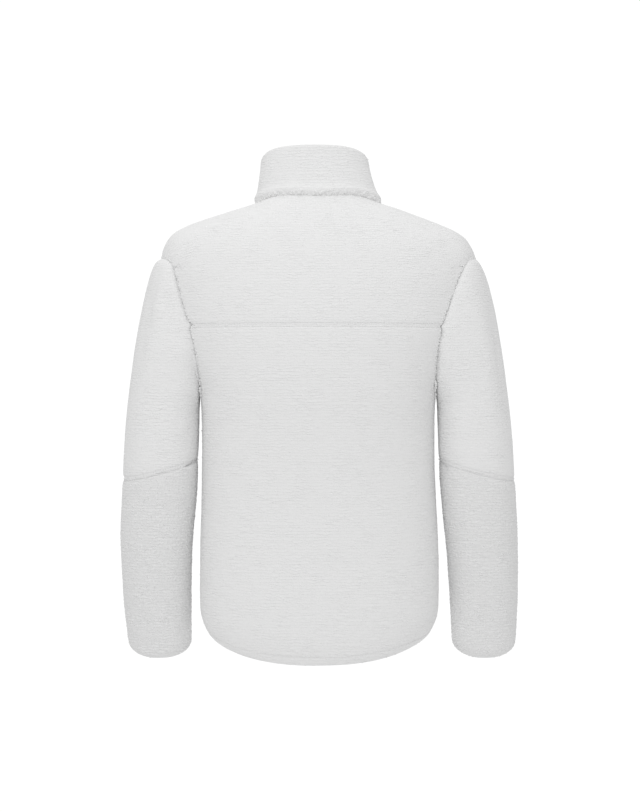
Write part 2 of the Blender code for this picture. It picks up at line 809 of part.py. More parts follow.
def zip_line(x, lift):
    """Points beside the zip from hem to rim, lifted off the fleece's outer surface."""
    neck = neck_angle_near_zip(x)
    rows = zip_heights()
    heights = [rows[0] + TAPE_END, rows[0] + SEAM_ROUNDING] + rows[1:-1]
    heights += [rows[-1] - SEAM_ROUNDING, rows[-1] - 0.001]
    line = []
    for height in heights:
        turn = turn_near_zip(x, height)
        line.append(torso_point(turn, height) + torso_normal(turn, height) * lift)
    outer, inner, _, _ = collar_grids([neck - 0.05, neck, neck + 0.05])
    for outside, inside in zip(outer, inner):
        line.append(outside[1] + (inside[1] - outside[1]).normalized() * -lift)
    return line


def ribbon(name, places, low, high, material, first=0, last=None):
    """A flat strip along the zip, between two lifts, with one line of points for each x."""
    under = [zip_line(x, low)[first:last] for x in places]
    over = [zip_line(x, high)[first:last] for x in places]
    rows_over = [list(row) for row in zip(*over)]
    rows_under = [list(row) for row in zip(*under)]
    return closed_wall(name, rows_over, rows_under, material)


def make_tape(name, side, material):
    lift = -(WALL + SEAM_GAP)
    places = [
        side * (TAPE_INNER + (TAPE_OUTER - TAPE_INNER) * i / TAPE_COLUMNS)
        for i in range(TAPE_COLUMNS + 1)
    ]
    return ribbon(name, places, lift - TAPE_THICKNESS, lift, material, last=-1)


def zip_frame(line, index):
    """Where a point of the zip is, with X across, Y up the zip and Z out of the cloth."""
    up = (line[index + 1] - line[index - 1]).normalized()
    out = Vector((1, 0, 0)).cross(up).normalized()
    across = up.cross(out).normalized()
    frame = Matrix((across, up, out)).transposed().to_4x4()
    frame.translation = line[index]
    return frame


def block(mesh, across, up, out):
    """Adds a box to a mesh, given as low and high limits along each axis."""
    made = bmesh.ops.create_cube(mesh, size=1.0)["verts"]
    for vert in made:
        vert.co = Vector(
            (low + high) / 2 + (high - low) * value
            for (low, high), value in zip((across, up, out), vert.co)
        )


def joined(name, frame, shapes, material):
    """One solid from boxes that overlap each other, placed by a frame."""
    parts = []
    for index, shape in enumerate(shapes):
        mesh = bmesh.new()
        if len(shape) == 3:
            block(mesh, *shape)
        else:
            radius, half_length, up, out = shape
            turned = Matrix.Rotation(math.pi / 2, 4, "Y")
            turned.translation = Vector((0, up, out))
            bmesh.ops.create_cone(
                mesh,
                cap_ends=True,
                segments=12,
                radius1=radius,
                radius2=radius,
                depth=2 * half_length,
                matrix=turned,
            )
        bmesh.ops.transform(mesh, matrix=frame, verts=mesh.verts)
        parts.append(finished(name if index == 0 else f"{name}_cut_{index}", mesh, material))
    for other in parts[1:]:
        other.hide_render = True
        other.display_type = "WIRE"
        union = parts[0].modifiers.new(other.name, "BOOLEAN")
        union.operation = "UNION"
        union.object = other
    return parts[0]


# The slider and its pull, along X across, Y up the zip and Z out of the cloth.
SLIDER_HALF_WIDTH = 0.0045
SLIDER_HALF_LENGTH = 0.0055
SLIDER_FACE = 0.0003
BRIDGE_HALF_WIDTH = 0.0015
BRIDGE_LOW = -0.0044
BRIDGE_HIGH = 0.0026
BRIDGE_BAR = 0.0010
BRIDGE_WINDOW_TOP = 0.0029
PULL_AXIS_UP = -0.0024
PULL_AXIS_OUT = 0.0016
PULL_BAR_RADIUS = 0.0007
PULL_HALF_WIDTH = 0.0036
PULL_ARM_WIDTH = 0.0013
PULL_WINDOW = 0.0070
PULL_LENGTH = 0.0260
PULL_HALF_THICKNESS = 0.0006


def make_slider(frame, material):
    """The slider: two plates joined by a post, side flanges and a bridge for the pull."""
    half, long, face = SLIDER_HALF_WIDTH, SLIDER_HALF_LENGTH, SLIDER_FACE
    wing = (half - 0.0010, half - 0.0001)
    shapes = [
        ((-half, half), (-long, long), (face - 0.0012, face)),
        (wing, (-long + 0.0001, long - 0.0001), (-0.0037, face - 0.0002)),
        ((-wing[1], -wing[0]), (-long + 0.0001, long - 0.0001), (-0.0037, face - 0.0002)),
        ((-half, half), (-long, long), (-0.0066, -0.0056)),
        ((-0.0006, 0.0006), (long - 0.0022, long - 0.0003), (-0.0058, face - 0.0003)),
        (
            (-BRIDGE_HALF_WIDTH, BRIDGE_HALF_WIDTH),
            (BRIDGE_LOW, BRIDGE_LOW + BRIDGE_BAR),
            (face - 0.0004, BRIDGE_WINDOW_TOP + BRIDGE_BAR),
        ),
        (
            (-BRIDGE_HALF_WIDTH, BRIDGE_HALF_WIDTH),
            (BRIDGE_HIGH - BRIDGE_BAR, BRIDGE_HIGH),
            (face - 0.0004, BRIDGE_WINDOW_TOP + BRIDGE_BAR),
        ),
        (
            (0.0001 - BRIDGE_HALF_WIDTH, BRIDGE_HALF_WIDTH - 0.0001),
            (BRIDGE_LOW + 0.0001, BRIDGE_HIGH - 0.0001),
            (BRIDGE_WINDOW_TOP, BRIDGE_WINDOW_TOP + BRIDGE_BAR - 0.0001),
        ),
    ]
    return joined("zip_slider", frame, shapes, material)


def make_pull(frame, material):
    """The pull tab. Its top bar passes under the slider's bridge and turns there."""
    up, out, thick = PULL_AXIS_UP, PULL_AXIS_OUT, PULL_HALF_THICKNESS
    arm = (PULL_HALF_WIDTH - PULL_ARM_WIDTH, PULL_HALF_WIDTH - 0.0001)
    level = (out - thick, out + thick)
    arm_level = (out - thick + 0.0001, out + thick - 0.0001)
    shapes = [
        ((-PULL_HALF_WIDTH, PULL_HALF_WIDTH), (up - PULL_LENGTH, up - PULL_WINDOW), level),
        (arm, (up - PULL_WINDOW - 0.001, up), arm_level),
        ((-arm[1], -arm[0]), (up - PULL_WINDOW - 0.001, up), arm_level),
        (PULL_BAR_RADIUS, PULL_HALF_WIDTH + 0.0002, up, out),
    ]
    return joined("zip_pull", frame, shapes, material)


def make_zip(tape, teeth, metal):
    """The closed zip up the front, with its slider at the top of the collar."""
    make_tape("zip_tape_left", 1, tape)
    make_tape("zip_tape_right", -1, tape)
    rim = zip_line(0.0, 0.0)
    lengths = [(rim[-1] - point).length for point in rim]
    at = min(range(len(rim)), key=lambda i: abs(lengths[i] - SLIDER_BELOW_RIM))
    middle = [-CHAIN_HALF_WIDTH, 0.0, CHAIN_HALF_WIDTH]
    ribbon("zip_chain", middle, CHAIN_BOTTOM, CHAIN_TOP, teeth, first=2, last=at + 1)
    frame = zip_frame(rim, at)
    make_slider(frame, metal)
    make_pull(frame, metal)
    foot = zip_frame(rim, 1)
    up = ((rim[0] - rim[1]).length * -1, (rim[2] - rim[1]).length - SEAM_GAP)
    across = (-ZIP_BOX_HALF_WIDTH, ZIP_BOX_HALF_WIDTH)
    joined("zip_box", foot, [(across, up, (CHAIN_BOTTOM, CHAIN_TOP))], teeth)
    hinge = frame @ Vector((0, PULL_AXIS_UP, PULL_AXIS_OUT))
    axis = frame.to_3x3() @ Vector((-1, 0, 0))
    print("pull tab hinge", [round(v, 6) for v in hinge], "axis", [round(v, 6) for v in axis])


def material(name, colour, roughness, metallic=0.0):
    made = bpy.data.materials.new(name)
    made.use_nodes = True
    shader = made.node_tree.nodes["Principled BSDF"]
    shader.inputs["Base Color"].default_value = (*colour, 1.0)
    shader.inputs["Roughness"].default_value = roughness
    shader.inputs["Metallic"].default_value = metallic
    return made


def main():
    for thing in list(bpy.data.objects):
        bpy.data.objects.remove(thing)
    fleece = material("pile_fleece", (0.80, 0.80, 0.80), 0.95)
    tape = material("zip_tape", (0.78, 0.78, 0.78), 0.85)
    teeth = material("zip_teeth", (0.82, 0.82, 0.82), 0.40)
    metal = material("zip_metal", (0.62, 0.62, 0.63), 0.30, 1.0)
    make_back_yoke(fleece)
    make_back_panel(fleece)
    make_front("front_left", 1, fleece)
    make_front("front_right", -1, fleece)
    make_collar(fleece)
    for word, side in (("left", 1), ("right", -1)):
        make_upper_sleeve(f"sleeve_upper_{word}", side, fleece)
        make_lower_sleeve(f"sleeve_lower_{word}", side, fleece)
    make_zip(tape, teeth, metal)


main()
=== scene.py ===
# %% [markdown]
# # A pile fleece zip jacket
# A pile fleece jacket is cut from a thick knitted cloth. One face is smooth, and the other is
# a mat of short curled fibres. The jacket here is filled out, as if somebody invisible wore it.
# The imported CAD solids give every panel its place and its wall. This lesson turns each of
# them into soft cloth, lays the curls on it, and adds the thread, the zip and the light.

import bpy
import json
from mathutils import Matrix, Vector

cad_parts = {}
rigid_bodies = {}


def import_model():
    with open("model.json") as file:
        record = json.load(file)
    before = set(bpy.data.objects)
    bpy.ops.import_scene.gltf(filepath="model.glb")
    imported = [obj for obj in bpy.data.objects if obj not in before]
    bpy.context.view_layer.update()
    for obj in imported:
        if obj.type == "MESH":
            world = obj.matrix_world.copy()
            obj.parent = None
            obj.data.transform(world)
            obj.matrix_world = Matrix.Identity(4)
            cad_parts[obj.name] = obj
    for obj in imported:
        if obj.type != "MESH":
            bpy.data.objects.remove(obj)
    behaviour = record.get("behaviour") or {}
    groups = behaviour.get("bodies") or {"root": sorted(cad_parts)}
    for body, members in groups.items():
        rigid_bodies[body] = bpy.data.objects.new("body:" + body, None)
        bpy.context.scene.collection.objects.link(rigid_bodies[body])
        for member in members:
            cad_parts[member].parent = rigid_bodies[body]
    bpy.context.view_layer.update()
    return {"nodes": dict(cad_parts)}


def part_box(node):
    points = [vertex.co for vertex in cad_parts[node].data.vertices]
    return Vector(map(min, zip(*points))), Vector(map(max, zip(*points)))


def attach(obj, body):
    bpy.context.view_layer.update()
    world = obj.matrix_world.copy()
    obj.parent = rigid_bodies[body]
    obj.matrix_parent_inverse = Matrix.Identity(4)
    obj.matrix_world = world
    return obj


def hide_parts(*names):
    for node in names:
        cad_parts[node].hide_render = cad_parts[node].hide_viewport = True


for left_over in list(bpy.data.objects):
    bpy.data.objects.remove(left_over)
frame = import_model()

# %% What the lesson uses
import json
import math

import bmesh
import numpy as np
from mathutils import Vector, noise
from mathutils.bvhtree import BVHTree
from mathutils.kdtree import KDTree

MM = 0.001
scene = bpy.context.scene
nodes = frame["nodes"]


def add_object(name, data):
    """A new object in the scene."""
    made = bpy.data.objects.new(name, data)
    scene.collection.objects.link(made)
    return made


# %% [markdown]
# ## The camera and the room
# The jacket is seen square from behind, from 3 m away, in a white studio. A long lens at that
# distance keeps its proportions true. The floor lies as far below the collar as it does when
# the jacket is worn. The room is a plain white world, because a wall would be in the way of the
# views from the other sides.

# %% Camera
PHOTO_HEIGHT = 812
METRES_PER_PIXEL = 1.55 * MM
CAMERA_DISTANCE = 3.0
CAMERA_X = -0.0023
CAMERA_HEIGHT = -0.3116
SENSOR = 36.0

camera_data = bpy.data.cameras.new("studio_camera")
camera = add_object("studio_camera", camera_data)
camera_data.sensor_width = SENSOR
camera_data.lens = SENSOR * CAMERA_DISTANCE / (PHOTO_HEIGHT * METRES_PER_PIXEL)
camera.location = (CAMERA_X, CAMERA_DISTANCE, CAMERA_HEIGHT)
camera.rotation_euler = (math.radians(90), 0, math.radians(180))
scene.camera = camera
print("lens in mm:", round(camera_data.lens, 1))

# %% Shader helpers
# Each material below is a chain of nodes on a Principled shader. These helpers keep the
# chains short: they add a node, set or link its sockets, and lead its output to the shader.


def grey(value):
    return (value, value, value, 1.0)


def new_material(name, colour, roughness, others=None):
    """A material with its Principled shader. others are further values, by their socket."""
    material = bpy.data.materials.new(name)
    material.use_nodes = True
    values = {"Base Color": colour, "Roughness": roughness, **(others or {})}
    for socket, value in values.items():
        material.node_tree.nodes["Principled BSDF"].inputs[socket].default_value = value
    return material


def node(material, kind, inputs=None, **settings):
    """Adds a node. inputs are values or other nodes' outputs, by the socket's name or number."""
    made = material.node_tree.nodes.new(kind)
    for name, value in settings.items():
        setattr(made, name, value)
    for key, value in (inputs or {}).items():
        if isinstance(value, bpy.types.NodeSocket):
            material.node_tree.links.new(value, made.inputs[key])
        else:
            made.inputs[key].default_value = value
    return made


def arithmetic(material, first, second, operation="MULTIPLY"):
    inputs = {0: first, 1: second}
    return node(material, "ShaderNodeMath", inputs, operation=operation).outputs[0]


def mapped(material, value, low, high, start=0.0, end=1.0):
    """A value that runs from low to high as the given one runs from start to end."""
    inputs = {"Value": value, "From Min": start, "From Max": end, "To Min": low, "To Max": high}
    return node(material, "ShaderNodeMapRange", inputs).outputs[0]


def object_place(material, scale=None):
    """Places on the object in metres, or stretched by a scale for each axis."""
    place = node(material, "ShaderNodeTexCoord").outputs["Object"]
    if scale:
        place = node(material, "ShaderNodeMapping", {"Vector": place, "Scale": scale}).outputs[0]
    return place


def texture(material, kind, place, scale, more=None, **settings):
    """The grey value of a texture, which is a Noise or a Wave."""
    inputs = {"Vector": place, "Scale": scale, **(more or {})}
    return node(material, f"ShaderNodeTex{kind}", inputs, **settings).outputs["Fac"]


def lead(material, output, socket):
    """Leads a node's output to a socket of the material's shader."""
    shader = material.node_tree.nodes["Principled BSDF"]
    material.node_tree.links.new(output, shader.inputs[socket])


def lead_bump(material, height, strength, distance):
    inputs = {"Strength": strength, "Distance": distance, "Height": height}
    lead(material, node(material, "ShaderNodeBump", inputs).outputs[0], "Normal")


def lead_grey(material, share, dark, light):
    """Colours the material with a grey that runs from dark to light as share goes from 0 to 1."""
    inputs = {0: share, 6: grey(dark), 7: grey(light)}
    mix = node(material, "ShaderNodeMix", inputs, data_type="RGBA")
    lead(material, mix.outputs[2], "Base Color")


# %% Floor and world
FLOOR_HEIGHT = -1.45
FLOOR_RADIUS = 2.2
FLOOR_GLOW = 0.04
WORLD_SEEN = 1.05
WORLD_LIGHT = 0.68
WHITE = grey(1.0)


def only(thing):
    """Selects one object and makes it the active one, as a click on it does."""
    bpy.ops.object.select_all(action="DESELECT")
    thing.select_set(True)
    bpy.context.view_layer.objects.active = thing


bpy.ops.object.select_all(action="DESELECT")
bpy.ops.mesh.primitive_circle_add(
    vertices=96, radius=FLOOR_RADIUS, fill_type="NGON", location=(0, 0, FLOOR_HEIGHT)
)
floor = bpy.context.object
floor.name = "studio_floor"
glow = {"Emission Color": WHITE, "Emission Strength": FLOOR_GLOW}
floor.data.materials.append(new_material("studio_floor", grey(0.9), 0.9, glow))

world = bpy.data.worlds.new("white_studio")
world.use_nodes = True
scene.world = world
lighting = world.node_tree.nodes["Background"]
lighting.inputs["Color"].default_value = WHITE
lighting.inputs["Strength"].default_value = WORLD_LIGHT
seen = node(world, "ShaderNodeBackground", {"Color": WHITE, "Strength": WORLD_SEEN})
is_camera_ray = node(world, "ShaderNodeLightPath").outputs["Is Camera Ray"]
both_worlds = {0: is_camera_ray, 1: lighting.outputs[0], 2: seen.outputs[0]}
either = node(world, "ShaderNodeMixShader", both_worlds).outputs[0]
output = world.node_tree.nodes["World Output"]
world.node_tree.links.new(either, output.inputs["Surface"])

# %% Lamps
# Each lamp is a square soft box, with its place, size and power.
JACKET_MIDDLE = Vector((0, 0, -0.32))
LAMPS = {
    "key_lamp": ((0.8, 2.5, 1.9), 1.8, 26),
    "fill_lamp": ((-1.5, 2.8, 0.7), 1.8, 4),
    "front_lamp": ((0.5, -3.4, 0.8), 2.0, 21),
    "top_lamp": ((0.0, 0.2, 2.4), 1.6, 9),
}

for name, (place, size, power) in LAMPS.items():
    data = bpy.data.lights.new(name, "AREA")
    data.size = size
    data.energy = power
    lamp = add_object(name, data)
    lamp.location = place
    lamp.rotation_euler = (JACKET_MIDDLE - Vector(place)).to_track_quat("-Z", "Y").to_euler()
scene.view_settings.view_transform = "Standard"
# White fibres pass light on many times before it is lost, so deep folds need more bounces.
scene.cycles.diffuse_bounces = 12
scene.cycles.max_bounces = 16
print("lamps:", len(LAMPS))

# %% [markdown]
# ## Cloth from a CAD solid
# A panel of the jacket is one wall of cloth, 4 mm thick. Its CAD solid has few, flat faces.
# Three ways could soften it: a cloth simulation, a voxel remesh or a subdivision surface.
# The form and the folds are already right, and a remesh would close a wall as thin as this.
# So each solid is copied, its loose triangles are merged back into four-sided faces, and a
# subdivision surface rounds them. Edges that are sewn to a neighbour are creased to stay shut.

# %% A merged copy of a solid
MERGE_DISTANCE = 0.01 * MM
QUAD_ANGLE = math.radians(60)


def clean_copy(node_name, name):
    """A new object with the solid's mesh, merged, with four-sided faces where it can be."""
    mesh = nodes[node_name].data.copy()
    mesh.name = name
    mesh.materials.clear()
    piece = add_object(name, mesh)
    only(piece)
    bpy.ops.mesh.customdata_custom_splitnormals_clear()
    bpy.ops.object.mode_set(mode="EDIT")
    bpy.ops.mesh.select_mode(type="VERT")
    bpy.ops.mesh.select_all(action="SELECT")
    bpy.ops.mesh.remove_doubles(threshold=MERGE_DISTANCE)
    bpy.ops.mesh.tris_convert_to_quads(face_threshold=QUAD_ANGLE, shape_threshold=QUAD_ANGLE)
    bpy.ops.mesh.faces_shade_smooth()
    bpy.ops.object.mode_set(mode="OBJECT")
    return piece


# Each fleece panel: a far point outside it and a near point inside the jacket find its faces.
FLEECE = {
    "back_yoke": ((0, 0.5, -0.12), (0, 0.03, -0.12)),
    "back_panel": ((0, 0.5, -0.45), (0, 0.05, -0.45)),
    "front_left": ((0.10, -0.5, -0.40), (0.08, -0.05, -0.40)),
    "front_right": ((-0.10, -0.5, -0.40), (-0.08, -0.05, -0.40)),
    "collar": ((0.006, 0.5, 0.05), (0.006, 0.03, 0.05)),
    "sleeve_upper_left": ((0.7, 0, -0.33), (0.24, 0, -0.33)),
    "sleeve_upper_right": ((-0.7, 0, -0.33), (-0.24, 0, -0.33)),
    "sleeve_lower_left": ((0.7, -0.01, -0.55), (0.25, -0.02, -0.55)),
    "sleeve_lower_right": ((-0.7, -0.01, -0.55), (-0.25, -0.02, -0.55)),
}
TORSO = ("back_yoke", "back_panel", "front_left", "front_right")
pieces = {name: clean_copy(name, f"fleece_{name}") for name in FLEECE}
print("faces:", {name: len(piece.data.polygons) for name, piece in pieces.items()})

# %% [markdown]
# ## Which faces are the pile, and which edges are sewn
# Pile shows on the outside and wraps round every free edge, and the smooth knit is inside. A
# flood fill sorts the faces: it starts at a face that is surely outside, and it may not step
# over an edge that turns sharply outwards. An edge point is sewn if another panel lies within
# a millimetre of it. The two panels meet there, so that no light falls through a seam.

# %% Find what each edge point is sewn to
SEWN_DISTANCE = 1.0 * MM

surfaces = {}
for name, piece in pieces.items():
    places = [v.co.copy() for v in piece.data.vertices]
    surfaces[name] = BVHTree.FromPolygons(places, [f.vertices for f in piece.data.polygons])


def neighbours(name, place):
    """The other panels that lie within a millimetre, nearest first, and where they do."""
    found = []
    for other, surface in surfaces.items():
        spot, _, _, away = surface.find_nearest(place, SEWN_DISTANCE)
        if other != name and spot is not None:
            found.append((away, other, spot))
    return [(other, spot) for _, other, spot in sorted(found, key=lambda hit: hit[0])]


def kind_of_seam(name, other):
    """Seams differ in how they look: at the armhole, at the elbow, at the neck, in the body."""
    if "collar" in (name, other):
        return "neck"
    sleeves = name.startswith("sleeve") + other.startswith("sleeve")
    return ("body", "armhole", "elbow")[sleeves]


# %% Sort the faces, close the seams and crease the edges
TURN_LIMIT = math.radians(40)
FREE_EDGE_CREASE = 0.45
PILE, KNIT, SEWN_RIM = 0, 1, 2


def nearest_face(shell, place):
    return min(shell.faces, key=lambda face: (face.calc_center_median() - place).length)


def flood(start):
    """The faces that can be reached without stepping over a sharp outward edge."""
    found = {start}
    waiting = [start]
    while waiting:
        face = waiting.pop()
        for edge in face.edges:
            if edge.calc_face_angle_signed(0.0) > TURN_LIMIT:
                continue
            for other in edge.link_faces:
                if other not in found:
                    found.add(other)
                    waiting.append(other)
    return found


def sort_faces(name, piece):
    """Marks the faces, closes the seams and gives the sewn and the free edges of the outside."""
    outside, inside = (Vector(place) for place in FLEECE[name])
    shell = bmesh.new()
    shell.from_mesh(piece.data)
    outer = flood(nearest_face(shell, outside))
    inner = flood(nearest_face(shell, inside))
    edge_crease = shell.edges.layers.float.new("crease_edge")
    corner_crease = shell.verts.layers.float.new("crease_vert")
    joined_to = {v: neighbours(name, v.co) for v in shell.verts}
    for v, found in joined_to.items():
        if found:
            v.co = (v.co + found[0][1]) / 2
        if len({other for other, _ in found}) > 1:
            v[corner_crease] = 1.0
    for face in shell.faces:
        rim_is_sewn = face not in outer and all(joined_to[v] for v in face.verts)
        face.material_index = KNIT if face in inner else (SEWN_RIM if rim_is_sewn else PILE)
    sewn, free = [], []
    for edge in shell.edges:
        sides = [(face in outer, face in inner) for face in edge.link_faces]
        if sides[0] == sides[1]:
            continue
        ends = [{other for other, _ in joined_to[v]} for v in edge.verts]
        is_sewn = all(ends)
        edge[edge_crease] = 1.0 if is_sewn else FREE_EDGE_CREASE
        if any(is_outer for is_outer, _ in sides):
            line = tuple(v.co.copy() for v in edge.verts)
            if is_sewn:
                sewn.append((name, sorted(ends[0] & ends[1] or ends[0])[0], *line))
            else:
                free.append((name, *line))
    print(name, "outer:", len(outer), "inner:", len(inner), "sewn edges:", len(sewn))
    shell.to_mesh(piece.data)
    shell.free()
    return sewn, free


sewn_edges, free_edges = [], []
for name, piece in pieces.items():
    sewn, free = sort_faces(name, piece)
    sewn_edges += sewn
    free_edges += free

# %% Round the panels with a subdivision surface
ROUNDS = 2


def apply_modifier(piece, kind, **settings):
    """Adds a modifier, sets it and applies it."""
    only(piece)
    modifier = piece.modifiers.new(kind.lower(), kind)
    for name, value in settings.items():
        setattr(modifier, name, value)
    bpy.ops.object.modifier_apply(modifier=modifier.name)


for name, piece in pieces.items():
    apply_modifier(piece, "SUBSURF", levels=ROUNDS, render_levels=ROUNDS)
print("rounded faces:", sum(len(piece.data.polygons) for piece in pieces.values()))

# %% [markdown]
# ## Lines that the sewing follows
# The seams and the hem decide where the pile dips, where fluff gathers and where thread runs.

# %% Points along the seams and the hem
LINE_STEP = 1.0 * MM
HEM_TOP = -0.60
HEM_STEEPEST = 0.8
SEAM_KINDS = ("body", "armhole", "elbow", "neck")


def points_along(pairs):
    """Points one step apart along straight stretches."""
    points = []
    for start, end in pairs:
        count = max(1, math.ceil((end - start).length / LINE_STEP))
        points += [start.lerp(end, i / count) for i in range(count)]
    return points


def tree_of(points):
    tree = KDTree(len(points))
    for index, point in enumerate(points):
        tree.insert(point, index)
    tree.balance()
    return tree


def seam_points(wanted):
    """Points along the seams whose two panels are wanted."""
    return points_along([edge[2:] for edge in sewn_edges if wanted(edge[0], edge[1])])


def is_hem(name, start, end):
    is_low = max(start.z, end.z) < HEM_TOP
    is_level = abs(start.z - end.z) < HEM_STEEPEST * (start - end).length
    return name in TORSO and is_low and is_level


seam_trees = {
    kind: tree_of(seam_points(lambda a, b: kind_of_seam(a, b) == kind)) for kind in SEAM_KINDS
}
hem_points = points_along([edge[1:] for edge in free_edges if is_hem(*edge)])
hem_tree = tree_of(hem_points)
print("hem length in mm:", len(hem_points))

# %% [markdown]
# ## Pile that is never quite even
# Real pile cloth swells between its seams and sinks into them, and a stitched hem leaves a
# shallow channel. At the armhole the body's cut edge lies over the sleeve. Where an arm hangs
# down, its sleeve creases. A sculpting brush could draw all this by hand. Here short tables
# and smooth noise do it the same way each time, and move each outer point along its normal.

# %% Tables of dents
PILE_RISE = 0.9 * MM
BROAD_LUMP = (45 * MM, 0.45 * MM)
SMALL_LUMP = (12 * MM, 0.22 * MM)
SMALL_LUMP_SHIFT = Vector((7, 3, 1))
STITCH_AWAY = 3.0 * MM
STITCH_CHANNEL = (0.9 * MM, 0.5 * MM)
HEM_STITCHES_UP = 14 * MM
HEM_CHANNEL = (1.7 * MM, 1.0 * MM)
HEM_FADES_OVER = 55 * MM
HEM_FADE_SHIFT = Vector((2, 9, 4))
HEM_USUAL, HEM_LEAST = 0.55, 0.15
FINE_NEAR_SEAM = 7 * MM

# Each valley along a seam, by the kind of seam and the piece: its half width and its depth.
VALLEYS = {
    ("armhole", "torso"): (4.0 * MM, -0.7 * MM),
    ("armhole", "sleeve"): (5.5 * MM, 2.4 * MM),
    ("elbow", "sleeve"): (4.0 * MM, 0.4 * MM),
    ("neck", "torso"): (4.5 * MM, 1.0 * MM),
    ("neck", "collar"): (2.5 * MM, 0.5 * MM),
}
# Soft creases at the back, as X and Z in mm, with half width and depth. The two short ones are
# the inner ends of the elbow seams. The last one is a faint ridge down the back panel, so its
# depth is below zero.
CREASES = (
    ("sleeve", ((-252, -99), (-264, -161), (-270, -202), (-278, -264)), 4.0 * MM, 1.7 * MM),
    ("sleeve", ((261, -115), (259, -147), (256, -178), (251, -211)), 4.5 * MM, 1.2 * MM),
    ("sleeve", ((233, -144), (222, -178), (212, -209)), 9.0 * MM, 1.3 * MM),
    ("sleeve", ((202, -403), (186, -392)), 2.2 * MM, 4.5 * MM),
    ("sleeve", ((-197, -405), (-184, -395)), 2.2 * MM, 4.5 * MM),
    ("torso", ((33, -330), (33, -640)), 3.5 * MM, -0.3 * MM),
)
# Hollows at the ends of the yoke seam and at the outer ends of the elbow seams, and a swelling
# of the pile in each armpit, as X and Z in mm, with half width and depth.
HOLLOWS = (
    ((193, -189), 3.0 * MM, 1.8 * MM),
    ((-184, -191), 3.0 * MM, 2.2 * MM),
    ((303, -423), 3.0 * MM, 3.6 * MM),
    ((-306, -426), 3.0 * MM, 3.6 * MM),
    ((183, -299), 15.0 * MM, -1.5 * MM),
    ((-183, -298), 11.0 * MM, -1.1 * MM),
)
# Where the end of the yoke seam is pulled towards the middle of the back: X and Z in mm, with
# the pull and its half width.
PULLS = (
    ((197, -188), -4.2 * MM, 4.5 * MM),
    ((-190, -191), 4.2 * MM, 4.5 * MM),
)


def at_back(x, z):
    """A place as seen from behind, with its depth left out."""
    return Vector((x, 0, z))


crease_trees = []
for wearer, corners, width, depth in CREASES:
    line = [at_back(x * MM, z * MM) for x, z in corners]
    tree = tree_of(points_along(list(zip(line, line[1:]))))
    crease_trees.append((wearer, tree, width, depth))


def family(name):
    if name in TORSO:
        return "torso"
    return name.split("_")[0]


def hill(away, width):
    """1 at the middle of a dent, and smoothly 0 further away than its half width."""
    return math.exp(-((away / width) ** 2))


def hill_about(place, x, z, width):
    """A hill about a spot at the back, whose X and Z are in mm."""
    return hill((at_back(place.x, place.z) - at_back(x * MM, z * MM)).length, width)


def within(value):
    """The value, held between 0 and 1."""
    return min(1.0, max(0.0, value))


# %% Raise and dent the outer face
BACK_STARTS = 0.0
BACK_FULL = 0.045
VALLEY_AT_FRONT = 0.1
# A hollow further out than this, in mm, goes right round the sleeve's edge.
SLEEVE_EDGE = 300
ARMPIT_HEIGHT = -0.292
ARMPIT_REACH = 0.035
SHOULDER_HEIGHT = -0.083
SHOULDER_REACH = 0.022
LEAST_AT_SHOULDER = 0.2
EDGE_FULLNESS = 3.4 * MM
EDGE_FULL_BELOW = -0.285
EDGE_STARTS = -0.255


def refine_near_lines(piece):
    """Cuts the faces near a seam or near the hem's stitching into nine."""
    only(piece)
    bpy.ops.object.mode_set(mode="EDIT")
    bpy.ops.mesh.select_mode(type="FACE")
    bpy.ops.mesh.select_all(action="DESELECT")
    shell = bmesh.from_edit_mesh(piece.data)
    for face in shell.faces:
        if face.material_index != PILE:
            continue
        place = face.calc_center_median()
        near_seam = min(tree.find(place)[2] for tree in seam_trees.values()) < FINE_NEAR_SEAM
        near_hem = abs(hem_tree.find(place)[2] - HEM_STITCHES_UP) < 3 * HEM_CHANNEL[0]
        face.select = near_seam or near_hem
    shell.select_flush_mode()
    bmesh.update_edit_mesh(piece.data)
    bpy.ops.mesh.subdivide(number_cuts=2)
    bpy.ops.object.mode_set(mode="OBJECT")


def triples(items, label):
    """A property of three numbers, as an array with a row for each item."""
    values = np.empty(len(items) * 3)
    items.foreach_get(label, values)
    return values.reshape(-1, 3)


def pile_normals(mesh):
    """Each point's place, its normal from the pile faces alone, and whether it has any."""
    places = triples(mesh.vertices, "co")
    normals = np.zeros_like(places)
    for face in mesh.polygons:
        if face.material_index == PILE:
            weighted = np.array(face.normal) * face.area
            for i in face.vertices:
                normals[i] += weighted
    lengths = np.linalg.norm(normals, axis=1)
    is_pile = lengths > 0
    normals[is_pile] /= lengths[is_pile, None]
    return places, normals, is_pile


